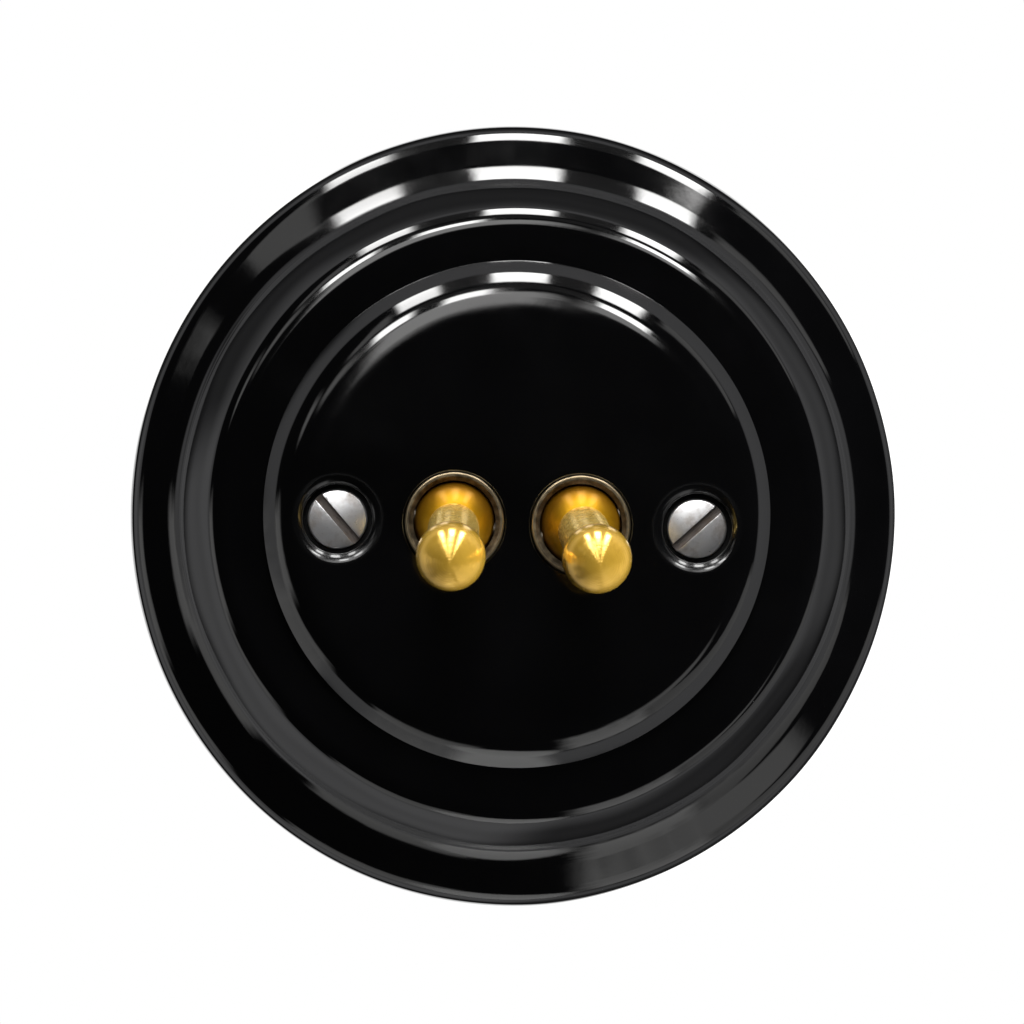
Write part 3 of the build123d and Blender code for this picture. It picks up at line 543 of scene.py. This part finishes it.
def knob_wear(height):
    """Depth left of the knob's grooves, whole at its tip and polished away towards its widest ring."""
    worn = share_of((KNOB_REACH + KNOB_R - height) / KNOB_R, WEAR_START, WEAR_SPAN)
    return 1 - WEAR_MOST * worn * worn * (3 - 2 * worn)


def turning_marks(run, scale, wear=None):
    """Run of an outline with the grooves of a lathe tool, fine or coarse, all inside the true form."""
    marked, length = [], 0.0
    for index, (radius, height) in enumerate(run):
        before, after = run[max(index - 1, 0)], run[min(index + 1, len(run) - 1)]
        step = (after[0] - before[0], after[1] - before[1])
        length += hypot(radius - before[0], height - before[1])
        depth = sum(low * (1 - cos(2 * pi * length / (scale * pitch))) for pitch, low in GROOVES)
        cut = scale * depth / hypot(*step)
        cut = cut * wear(height) if wear else cut
        marked.append((radius - cut * step[1], height + cut * step[0]))
    return marked


def turned_mesh(name, outline, place, steps, wobble=None, marks=None):
    """Mesh turned about Z from an outline that starts and ends on the axis or goes round a ring.
    Each mark is a named value of radius and height that the points carry."""
    build = bmesh.new()
    marked = {mark: build.verts.layers.float.new(mark) for mark in (marks or {})}
    rings = []
    for radius, height in outline:
        ring = []
        for step in range(steps if radius > SAME_POINT else 1):
            turn = 2 * pi * step / steps
            r, h = wobble(turn, radius, height) if wobble else (radius, height)
            point = build.verts.new((r * cos(turn), r * sin(turn), h))
            for mark, layer in marked.items():
                point[layer] = marks[mark](radius, height)
            ring.append(point)
        rings.append(ring)
    if outline[0][0] > SAME_POINT:
        rings.append(rings[0])
    for low, high in zip(rings, rings[1:]):
        for step in range(steps):
            pair = (step, step + 1)
            corners = [low[i % len(low)] for i in pair] + [high[i % len(high)] for i in reversed(pair)]
            build.faces.new(list(dict.fromkeys(corners)))
    bmesh.ops.recalc_face_normals(build, faces=build.faces)
    build.transform(place)
    mesh = bpy.data.meshes.new(name)
    build.to_mesh(mesh)
    build.free()
    return mesh


def in_scene(name, mesh):
    """Object at the origin that holds a mesh."""
    piece = bpy.data.objects.new(name, mesh)
    bpy.context.scene.collection.objects.link(piece)
    return piece


def settled(piece):
    """Turns a piece's modifiers into its mesh."""
    graph = bpy.context.evaluated_depsgraph_get()
    shown = piece.evaluated_get(graph)
    mesh = bpy.data.meshes.new_from_object(shown, preserve_all_data_layers=True, depsgraph=graph)
    piece.modifiers.clear()
    old = piece.data
    piece.data = mesh
    bpy.data.meshes.remove(old)
    return piece


def cut_or_add(piece, tools, operation):
    """Cuts tools out of a piece or adds them to it, then deletes the tools."""
    for tool in tools:
        change = piece.modifiers.new(tool.name, "BOOLEAN")
        change.operation = operation
        change.solver = "EXACT"
        change.object = tool
    settled(piece)
    for tool in tools:
        bpy.data.objects.remove(tool)
    return piece


def cleaned(piece):
    """Joins the points that a cut leaves on top of each other."""
    build = bmesh.new()
    build.from_mesh(piece.data)
    bmesh.ops.remove_doubles(build, verts=build.verts, dist=MERGE * MM)
    bmesh.ops.dissolve_degenerate(build, edges=build.edges, dist=MERGE * MM)
    build.to_mesh(piece.data)
    build.free()
    return piece


def smoothed(piece, sharp):
    """Shades a piece smooth except across edges sharper than the given angle."""
    piece.data.polygons.foreach_set("use_smooth", [True] * len(piece.data.polygons))
    piece.data.set_sharp_from_angle(angle=radians(sharp))
    weigh = piece.modifiers.new("even_shade", "WEIGHTED_NORMAL")
    weigh.keep_sharp = True
    weigh.weight = 70
    return settled(piece)


def finished(piece, finish, body, *nodes):
    """Gives a piece its finish, lets it ride on its body and stand for the CAD nodes that it refines."""
    piece.data.materials.clear()
    piece.data.materials.append(FINISHES[finish])
    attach(piece, body)
    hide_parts(*nodes)
    return piece


def hand_wave(turn, radius, height):
    """Slight unevenness of hand-finished clay at a place on the skin, in millimetres."""
    return sum(
        size * sin(count * turn + shift + by_radius * radius + by_height * height)
        for size, count, shift, by_radius, by_height in WAVES
    )


def frame_wobble(turn, radius, height):
    """Frame skin pulled slightly oval at its foot and uneven on its flanks, never outside the true form."""
    loose = share_of(radius, *FRAME_LOOSE) * share_of(height, *FRAME_LOOSE_RISE)
    oval = OVAL_FOOT * share_of(radius, *OVAL_LOOSE) * (1 + cos(2 * turn))
    wave = hand_wave(turn, radius, height) - WAVE_DROP
    return radius - oval + loose * wave, height + FRAME_WAVE_RISE * loose * wave


def cover_wobble(turn, radius, height):
    """Cover rim with the same unevenness, fading out before the flat face."""
    loose = share_of(radius, *COVER_LOOSE) * share_of(height - LEDGE, *COVER_LOOSE_RISE)
    wave = COVER_WAVE * (hand_wave(turn + COVER_WAVE_TURN, radius, height) - WAVE_DROP)
    return radius + loose * wave, height + COVER_WAVE_RISE * loose * wave


def porcelain_frame():
    """Glazed frame ring."""
    mesh = turned_mesh("porcelain_frame", frame_outline(), PORCELAIN, STEPS_ROUND, frame_wobble)
    piece = smoothed(in_scene("porcelain_frame", mesh), SMOOTH_BELOW["frame"])
    return finished(piece, "black_glaze", "switch", "frame_ring")


def cutter(name, outline, x):
    """Turned tool for a cut at a place across the face."""
    place = STAND @ Matrix.Translation((x * MM, 0, 0)) @ MILLIMETRES
    return in_scene(name, turned_mesh(name, outline, place, STEPS_SMALL))


def rod_outline(radius, low, high):
    """Outline of a plain cylinder."""
    return [(0, low), (radius, low), (radius, high), (0, high)]


def porcelain_cover():
    """Glazed cover disc with its screw wells, toggle holes and bosses."""
    mesh = turned_mesh("porcelain_cover", cover_outline(), PORCELAIN, STEPS_ROUND, cover_wobble)
    piece = in_scene("porcelain_cover", mesh)
    toggle_xs = [JOINTS[f"{side}_lever_hinge"]["pos_m"][0] / MM for side in ("left", "right")]
    seat = FACE - SCREW_WELL_DEPTH
    boss_low = seat - BOSS_T
    bosses = [cutter("boss", rod_outline(BOSS_R, boss_low, FACE - COVER_T + BOSS_SINK), x) for x in SCREW_XS]
    cut_or_add(piece, bosses, "UNION")
    cuts = [cutter("well", well_outline(SCREW_WELL_R, SCREW_WELL_RIM, seat), x) for x in SCREW_XS]
    bore = rod_outline(SCREW_HOLE_R, boss_low - CUT_PAST, seat + CUT_PAST)
    cuts += [cutter("bore", bore, x) for x in SCREW_XS]
    low = FACE - COVER_T - CUT_PAST
    cuts += [cutter("hole", well_outline(TOGGLE_HOLE_R, TOGGLE_HOLE_RIM, low), x) for x in toggle_xs]
    cut_or_add(piece, cuts, "DIFFERENCE")
    piece = smoothed(cleaned(piece), SMOOTH_BELOW["cover"])
    return finished(piece, "black_glaze", "switch", "cover_disc")


def toggle_turn(side):
    """Turn of a bush about its own axis, from the hinge axis of its lever."""
    axis = JOINTS[f"{side}_lever_hinge"]["axis"]
    return atan2(-axis[2], -axis[0])


def toggle_bush(side):
    """Aged bush of one toggle, with marks where its edges are rubbed bright."""
    x = JOINTS[f"{side}_lever_hinge"]["pos_m"][0]
    place = Matrix.Translation((x, 0, 0)) @ STAND @ Matrix.Rotation(toggle_turn(side), 4, "Z") @ MILLIMETRES
    low_r, low = BUSH_R - RUBBED_WIDTH, RING - RUBBED_HEIGHT
    marks = {"edge": lambda radius, height: 1.0 if radius > low_r and height > low else 0.0}
    name = f"{side}_toggle_bush"
    piece = in_scene(name, turned_mesh(name, bush_outline(), place, STEPS_SMALL, None, marks))
    return finished(smoothed(piece, SMOOTH_BELOW["bush"]), "aged_brass", "switch", f"{side}_bush")


def toggle_lever(side):
    """Turned lever of one toggle: tail, dome, grained neck and ringed knob."""
    hinge = JOINTS[f"{side}_lever_hinge"]
    tilt = radians(hinge["range_deg"][1] / 2)
    place = (
        Matrix.Translation(hinge["pos_m"]) @ STAND @ Matrix.Rotation(toggle_turn(side), 4, "Z")
        @ Matrix.Rotation(tilt, 4, "X") @ MILLIMETRES
    )
    neck_low = sqrt(DOME_R**2 - NECK_R**2)
    neck_top = KNOB_REACH - sqrt(KNOB_R**2 - NECK_R**2)

    def painted_dome_shade(radius, height):
        """Share of the way down the dome, from the neck to the widest ring, that sets the dome's painted shade."""
        return (radius - NECK_R) / (DOME_R - NECK_R) if 0 <= height < neck_low else 0.0

    marks = {
        "neck": lambda radius, height: 1.0 if neck_low < height < neck_top else 0.0,
        "knob": lambda radius, height: 1.0 if height >= neck_top - SAME_POINT else 0.0,
        "painted_dome_shade": painted_dome_shade,
    }
    name = f"{side}_toggle_lever"
    piece = in_scene(name, turned_mesh(name, lever_outline(), place, STEPS_LEVER, None, marks))
    across = place @ Matrix.Rotation(radians(90), 4, "Y")
    pin = turned_mesh("pin", rod_outline(PIN_R, -2 * DOME_R, 2 * DOME_R), across, STEPS_PIN)
    cut_or_add(piece, [in_scene("pin", pin)], "DIFFERENCE")
    piece = smoothed(piece, SMOOTH_BELOW["lever"])
    return finished(piece, "polished_brass", f"{side}_toggle", f"{side}_lever")


# Slotted screws, in millimetres
SCREW_HEAD = {
    "Head Diameter": 2 * SCREW_HEAD_R, "Head Height": 2.5, "Dome Rise": 0.38, "Edge Round": 0.35,
    "Slot Width": 1.05, "Slot Depth": 1.25, "Shank Diameter": 4.0, "Shank Length": 12.0,
}
COVER_SCREW_TURNS = (-48.0, 43.0)
WORN_EDGE = 0.05
WORN_ANGLE = 40.0

# Radius of the ring that stands for a screw's axis, and the gap that closes on it, in metres
AXIS_R = 1e-6
AXIS_CLOSE = 4e-6


def screw_tree():
    """Geometry nodes that set a slotted screw on every point, turned by the point's facing."""
    tree = bpy.data.node_groups.new("slotted_screws", "GeometryNodeTree")
    tree.interface.new_socket("Geometry", in_out="INPUT", socket_type="NodeSocketGeometry")
    for name in SCREW_HEAD:
        tree.interface.new_socket(name, in_out="INPUT", socket_type="NodeSocketFloat")
    tree.interface.new_socket("Finish", in_out="INPUT", socket_type="NodeSocketMaterial")
    tree.interface.new_socket("Geometry", in_out="OUTPUT", socket_type="NodeSocketGeometry")
    wire = Wire(tree)
    given = tree.nodes.new("NodeGroupInput")
    take = {socket.name: Wire(tree, socket) for socket in given.outputs}
    head_r, shank_r = take["Head Diameter"] * 0.5, take["Shank Diameter"] * 0.5
    top, edge = take["Head Height"], take["Edge Round"]
    shoulder = top - take["Dome Rise"]

    def spot(radius, height):
        """Point of the outline, drawn in the plane that the turning expects."""
        return wire.node("ShaderNodeCombineXYZ", None, {0: radius, 1: -height})

    def bow(start, middle, end, count):
        """Arc through three points."""
        inputs = {"Resolution": count, "Start": start, "Middle": middle, "End": end}
        return wire.node("GeometryNodeCurveArc", {"mode": "POINTS"}, inputs)

    def line(start, end):
        """Straight run between two points."""
        return wire.node("GeometryNodeCurvePrimitiveLine", None, {"Start": start, "End": end})

    rim_r = head_r - edge
    rim = spot(rim_r, shoulder)
    side = spot(head_r, shoulder - edge)
    crown = bow(spot(0.0, top), spot(rim_r * 0.5, top - take["Dome Rise"] * 0.25), rim, 12)
    halfway = radians(45)
    bend = spot(rim_r + edge * sin(halfway), shoulder - edge * (1 - cos(halfway)))
    corner = bow(rim, bend, side, 6)
    seat, neck = spot(head_r, 0.0), spot(shank_r, 0.0)
    tip, end = spot(shank_r, -take["Shank Length"]), spot(0.0, -take["Shank Length"])
    outline = wire.node(
        "GeometryNodeJoinGeometry", None,
        {0: [crown, corner, line(side, seat), line(seat, neck), line(neck, tip), line(tip, end)]},
    )
    axis_sizes = {"Resolution": STEPS_SCREW, "Radius": AXIS_R}
    axis = wire.node("GeometryNodeCurvePrimitiveCircle", {"mode": "RADIUS"}, axis_sizes)
    blank = wire.node("GeometryNodeCurveToMesh", None, {"Curve": axis, "Profile Curve": outline})
    blank = wire.node("GeometryNodeMergeByDistance", None, {"Geometry": blank, "Distance": AXIS_CLOSE})
    slot_size = wire.node(
        "ShaderNodeCombineXYZ", None,
        {0: take["Head Diameter"] * 1.5, 1: take["Slot Width"], 2: take["Slot Depth"] * 2.0},
    )
    blade = wire.node("GeometryNodeMeshCube", None, {"Size": slot_size})
    lift = wire.node("ShaderNodeCombineXYZ", None, {2: top})
    blade = wire.node("GeometryNodeTransform", None, {"Geometry": blade, "Translation": lift})
    meshes = {"Mesh 1": blank, "Mesh 2": blade}
    screw = wire.node("GeometryNodeMeshBoolean", {"operation": "DIFFERENCE"}, meshes)
    facing = wire.node("GeometryNodeInputNamedAttribute", {"data_type": "FLOAT_VECTOR"}, {"Name": "facing"})
    turn = wire.node("FunctionNodeEulerToRotation", None, {0: facing})
    set_out = wire.node(
        "GeometryNodeInstanceOnPoints", None,
        {"Points": take["Geometry"], "Instance": screw, "Rotation": turn},
    )
    real = wire.node("GeometryNodeRealizeInstances", None, {0: set_out})
    dressed = wire.node("GeometryNodeSetMaterial", None, {"Geometry": real, "Material": take["Finish"]})
    wire.feed(tree.nodes.new("NodeGroupOutput").inputs[0], dressed)
    return tree


def screws(name, tree, places, sizes, finish, nodes):
    """Slotted screws at places, each a point in metres and the turn that lays the screw's axis there."""
    mesh = bpy.data.meshes.new(name)
    mesh.from_pydata([point for point, turn in places], [], [])
    facing = mesh.attributes.new("facing", "FLOAT_VECTOR", "POINT")
    facing.data.foreach_set("vector", [v for point, turn in places for v in turn.to_euler()])
    piece = in_scene(name, mesh)
    laid = piece.modifiers.new("screws", "NODES")
    laid.node_group = tree
    for socket in tree.interface.items_tree:
        if socket.name in sizes:
            laid[socket.identifier] = sizes[socket.name] * MM
        elif socket.name == "Finish":
            laid[socket.identifier] = FINISHES[finish]
    settled(piece)
    bevel = piece.modifiers.new("worn_edges", "BEVEL")
    bevel.width = WORN_EDGE * MM
    bevel.segments = 2
    bevel.limit_method = "ANGLE"
    bevel.angle_limit = radians(WORN_ANGLE)
    settled(piece)
    return finished(smoothed(piece, SMOOTH_BELOW["screws"]), finish, "switch", *nodes)


def cover_screws(tree):
    """The two screws that hold the cover."""
    seat = FACE - SCREW_WELL_DEPTH
    places = [
        (Vector((x * MM, -seat * MM, 0)), STAND @ Matrix.Rotation(radians(turn), 4, "Z"))
        for x, turn in zip(SCREW_XS, COVER_SCREW_TURNS)
    ]
    return screws("slotted_cover_screws", tree, places, SCREW_HEAD, "satin_steel", ["cover_screws"])


def dress_nodes():
    """Gives every shown CAD node the finish of its slot."""
    for part in frame["record"]["subparts"]:
        node = frame["nodes"][part["node"]]
        if not node.hide_render:
            node.data.materials.clear()
            node.data.materials.append(FINISHES[part["material_slot"]])


# Studio: boxes and cards on wide spheres round the switch. Each goes from one angle to another round the view
# axis, clockwise from straight up, and between two angles away from the camera, which for a card are given at
# both its ends. Then come its brightness and the share of its width and of its height over which it fades.
BOX_REACH = 1.5
CARD_REACH = 1.8
BOXES = {
    "top_left_box": ((-31.5, -18.0), (60, 97), 10.0, (0.2, 0.16)),
    "top_box": ((-7.0, 8.5), (60, 97), 12.0, (0.15, 0.12)),
    "top_right_box": ((19.0, 32.5), (60, 97), 12.0, (0.2, 0.12)),
    "near_left_box": ((-41.0, -25.0), (31, 51), 14.0, (0.25, 0.25)),
    "near_box": ((-20.0, -3.5), (27, 46), 14.0, (0.25, 0.25)),
    "near_right_box": ((20.5, 37.0), (33, 51), 15.0, (0.2, 0.2)),
    "rear_left_box": ((-80.0, -20.0), (138, 168), 2.0, (0.2, 0.2)),
    "rear_right_box": ((30.0, 174.0), (134, 168), 3.0, (0.2, 0.2)),
}
CARDS = {
    "glow": ((-50.0, 24.0), (3, 34), (5, 40), 2.2, (0.2, 0.22)),
    "glow_right": ((14.0, 44.0), (6, 40), (24, 42), 2.0, (0.3, 0.25)),
    "ceiling_edge": ((-50.0, 35.0), (40, 57), (40, 57), 0.1, (0.05, 0.05)),
    "ceiling": ((-32.0, 35.0), (57, 100), (57, 100), 0.09, (0.1, 0.05)),
    "left_haze": ((-66.0, -38.0), (34, 50), (26, 58), 0.8, (0.4, 0.4)),
    "left_wisp": ((-76.0, -54.0), (52, 60), (44, 72), 0.8, (0.4, 0.4)),
    "left_wedge": ((-50.0, -30.0), (53, 58), (44, 88), 0.6, (0.2, 0.3)),
    "right_wedge": ((32.0, 68.0), (66, 105), (82, 94), 0.5, (0.1, 0.3)),
    "low_right_wedge": ((94.0, 151.0), (90, 101), (50, 101), 0.42, (0.12, 0.12)),
    "low_right_wisp": ((110.0, 164.0), (53, 59), (46, 80), 0.6, (0.25, 0.35)),
    "low_right_card": ((138.0, 171.0), (52, 101), (44, 101), 0.8, (0.25, 0.2)),
    "left_card": ((-118.0, -82.0), (64, 106), (72, 100), 0.65, (0.25, 0.3)),
    "low_left_card": ((-179.0, -140.0), (64, 106), (78, 106), 0.5, (0.15, 0.25)),
    "low_left_wisp": ((-136.0, -103.0), (74, 106), (88, 104), 0.5, (0.2, 0.3)),
}
CARD_RAGGED = 0.18
CARD_GRID = 12

# Soft lamps by place in metres, size and power
LAMPS = {
    "front_lamp": ((0.1, -0.9, 1.2), 0.9, 31.0),
    "side_lamp": ((1.35, -0.55, -0.6), 0.8, 42.0),
    "fill_lamp": ((-1.3, 0.0, 0.1), 0.8, 5.0),
    "rear_lamp": ((-0.6, 1.1, 0.9), 0.9, 16.0),
}


def card_glow(name, strength, soft, ragged):
    """Light of a card that fades out towards its edges, which may be ragged."""
    glow = bpy.data.materials.new(f"{name}_glow")
    glow.use_nodes = True
    wire = Wire(glow.node_tree)
    glow.node_tree.nodes.clear()
    across, above = mark_of(wire, "across"), mark_of(wire, "above")
    if ragged:
        place = place_of(wire)
        across = across * (1 + ragged) + ragged * (noise(wire, place, 160.0) - 1.0)
        above = above * (1 + ragged) + ragged * (noise(wire, place, 90.0) - 1.0)
    fade = smooth_step(across, 0.0, soft[0]) * smooth_step(1 - across, 0.0, soft[0])
    fade = fade * smooth_step(above, 0.0, soft[1]) * smooth_step(1 - above, 0.0, soft[1])
    light = wire.node("ShaderNodeEmission", None, {"Color": (1.0, 0.995, 0.985, 1.0), "Strength": strength})
    clear = wire.node("ShaderNodeBsdfTransparent")
    both = wire.node("ShaderNodeMixShader", None, {0: fade, 1: clear, 2: light})
    wire.feed(wire.tree.nodes.new("ShaderNodeOutputMaterial").inputs[0], both)
    return glow


def light_card(name, across, start, end, strength, soft, reach, ragged=0.0):
    """Softbox or reflector card, curved round the switch, out of the camera's sight. It goes across from one
    end to the other, and at each of them from one angle away from the camera to another."""
    build = bmesh.new()
    layers = build.verts.layers.float.new("across"), build.verts.layers.float.new("above")
    rows = []
    for i in range(CARD_GRID + 1):
        row = []
        for j in range(CARD_GRID + 1):
            share = (i / CARD_GRID, j / CARD_GRID)
            turn = radians(across[0] + (across[1] - across[0]) * share[0])
            low, high = (a + (b - a) * share[0] for a, b in zip(start, end))
            away = radians(low + (high - low) * share[1])
            out = Vector((sin(away) * sin(turn), -cos(away), sin(away) * cos(turn)))
            point = build.verts.new(out * reach)
            point[layers[0]], point[layers[1]] = share
            row.append(point)
        rows.append(row)
    for low, high in zip(rows, rows[1:]):
        for j in range(CARD_GRID):
            build.faces.new((low[j], low[j + 1], high[j + 1], high[j]))
    mesh = bpy.data.meshes.new(name)
    build.to_mesh(mesh)
    build.free()
    card = in_scene(name, mesh)
    mesh.materials.append(card_glow(name, strength, soft, ragged))
    card.visible_camera = False
    card.visible_diffuse = False
    card.visible_shadow = False


def soft_lamp(name, spot, size, power):
    """Large lamp aimed at the switch that gives the plain level of light."""
    data = bpy.data.lights.new(name, "AREA")
    data.shape = "DISK"
    data.size = size
    data.energy = power
    lamp = bpy.data.objects.new(name, data)
    bpy.context.scene.collection.objects.link(lamp)
    lamp.location = spot
    lamp.rotation_euler = Vector(spot).to_track_quat("Z", "Y").to_euler()
    lamp.visible_camera = False
    lamp.visible_glossy = False


# Floor below the switch, in metres, and the shares of its radius between which it fades out
FLOOR_DROP = 0.6
FLOOR_R = 0.17
FLOOR_FADE = (0.6, 0.98)
FLOOR_STEPS = 96


def studio_floor():
    """Round pale floor below the switch that fades into the white round its edge."""
    build = bmesh.new()
    bmesh.ops.create_circle(build, cap_ends=True, segments=FLOOR_STEPS, radius=FLOOR_R)
    build.transform(Matrix.Translation((0, 0, -FLOOR_DROP)))
    mesh = bpy.data.meshes.new("studio_floor")
    build.to_mesh(mesh)
    build.free()
    floor = in_scene("studio_floor", mesh)
    finish, shader, wire = new_finish("pale_floor", {"Roughness": 0.7})
    place = place_of(wire)
    cloud = noise(wire, place, 60.0)
    wire.feed(shader.inputs["Base Color"], mixed((0.78, 0.78, 0.77), (0.84, 0.84, 0.83), cloud))
    level = wire.node("ShaderNodeVectorMath", {"operation": "MULTIPLY"}, {0: place, 1: (1, 1, 0)})
    from_middle = wire.node("ShaderNodeVectorMath", {"operation": "LENGTH"}, {0: level}, 1)
    faded = smooth_step(from_middle, FLOOR_FADE[0] * FLOOR_R, FLOOR_FADE[1] * FLOOR_R)
    wire.feed(shader.inputs["Alpha"], 1 - faded)
    mesh.materials.append(finish)


# Room round the switch: the brightness of its parts, and how far behind the switch a direction points, from
# 0 to 1, where each part comes up and goes down. Two sides of the rear are brighter, by their own directions.
ROOM_LEVEL = 0.008
HORIZON_LEVEL = 0.3
HORIZON_UP, HORIZON_DOWN = (0.06, 0.16), (0.28, 0.5)
REAR_LEVEL = 0.055
REAR_UP, REAR_DOWN = (0.26, 0.44), (0.54, 0.68)
LOW_LEFT_LEVEL, LOW_LEFT, LOW_LEFT_UP = 0.2, (-0.77, 0.0, -0.64), (0.4, 0.62)
RIGHT_LEVEL, RIGHT, RIGHT_UP = 0.1, (0.96, 0.0, 0.27), (0.62, 0.78)
WHITE_UP = (0.8, 0.92)


def studio_room():
    """White backdrop behind the switch, a dim room at its sides and darkness on the camera's side."""
    world = bpy.data.worlds.new("studio_room")
    bpy.context.scene.world = world
    world.use_nodes = True
    tree = world.node_tree
    tree.nodes.clear()
    wire = Wire(tree)
    out = wire.node("ShaderNodeTexCoord", outlet=0)
    behind = wire.node("ShaderNodeSeparateXYZ", None, {0: out}, 1)

    def towards(direction):
        """How far a direction of the room points towards another."""
        return wire.node("ShaderNodeVectorMath", {"operation": "DOT_PRODUCT"}, {0: out, 1: direction}, 1)

    horizon = HORIZON_LEVEL * smooth_step(behind, *HORIZON_UP) * (1 - smooth_step(behind, *HORIZON_DOWN))
    low_left = LOW_LEFT_LEVEL * smooth_step(towards(LOW_LEFT), *LOW_LEFT_UP)
    right = RIGHT_LEVEL * smooth_step(towards(RIGHT), *RIGHT_UP)
    rear = (REAR_LEVEL + low_left + right) * smooth_step(behind, *REAR_UP)
    rear = rear * (1 - smooth_step(behind, *REAR_DOWN))
    dim = mixed((0, 0, 0), (1, 1, 1.02), ROOM_LEVEL + horizon + rear)
    room = wire.node("ShaderNodeBackground", None, {"Color": dim, "Strength": 1.0})
    white = wire.node("ShaderNodeBackground", None, {"Color": (1, 1, 1, 1), "Strength": 1.0})
    path = tree.nodes.new("ShaderNodeLightPath")
    seen = {socket.name: Wire(tree, socket) for socket in path.outputs}
    mirrored = (seen["Is Glossy Ray"] + seen["Is Transmission Ray"]) * smooth_step(behind, *WHITE_UP)
    share = wire.math("MINIMUM", seen["Is Camera Ray"] + mirrored, 1.0)
    both = wire.node("ShaderNodeMixShader", None, {0: share, 1: room, 2: white})
    wire.feed(tree.nodes.new("ShaderNodeOutputWorld").inputs[0], both)


# Camera, by the photograph's frame of 1024 pixels and the place of the outline's middle in it
FRAME_PIXELS = 1024
PIXELS_PER_MM = 7.8
CENTRE_PIXEL = (513.5, 516.0)
CAMERA_AWAY = 0.8
CAMERA_SIDE = -1.6
CAMERA_RISE = -0.8
CAMERA_ROLL = 1.5


def photo_camera():
    """Long lens all but square to the wall, rolled as the photograph is."""
    data = bpy.data.cameras.new("photo_camera")
    camera = bpy.data.objects.new("photo_camera", data)
    bpy.context.scene.collection.objects.link(camera)
    width = FRAME_PIXELS / PIXELS_PER_MM * MM
    data.lens = data.sensor_width * CAMERA_AWAY / width
    data.shift_x = (FRAME_PIXELS / 2 - CENTRE_PIXEL[0]) / FRAME_PIXELS
    data.shift_y = (CENTRE_PIXEL[1] - FRAME_PIXELS / 2) / FRAME_PIXELS
    data.clip_start, data.clip_end = 0.05, 10.0
    side, rise = radians(CAMERA_SIDE), radians(CAMERA_RISE)
    out = Vector((sin(side) * cos(rise), -cos(side) * cos(rise), sin(rise)))
    camera.location = Vector((0, 0, LIFT)) + CAMERA_AWAY * out
    roll = Quaternion((0, 0, 1), radians(CAMERA_ROLL))
    camera.rotation_euler = (out.to_track_quat("Z", "Y") @ roll).to_euler()
    bpy.context.scene.camera = camera


porcelain_frame()
porcelain_cover()
cover_screws(screw_tree())
for side in ("left", "right"):
    toggle_bush(side)
    toggle_lever(side)
dress_nodes()
for box, (across, above, strength, soft) in BOXES.items():
    light_card(box, across, above, above, strength, soft, BOX_REACH)
for card, (across, start, end, strength, soft) in CARDS.items():
    light_card(card, across, start, end, strength, soft, CARD_REACH, CARD_RAGGED)
for lamp, (spot, size, power) in LAMPS.items():
    soft_lamp(lamp, spot, size, power)
studio_floor()
studio_room()
photo_camera()
bpy.context.scene.view_settings.view_transform = "Standard"
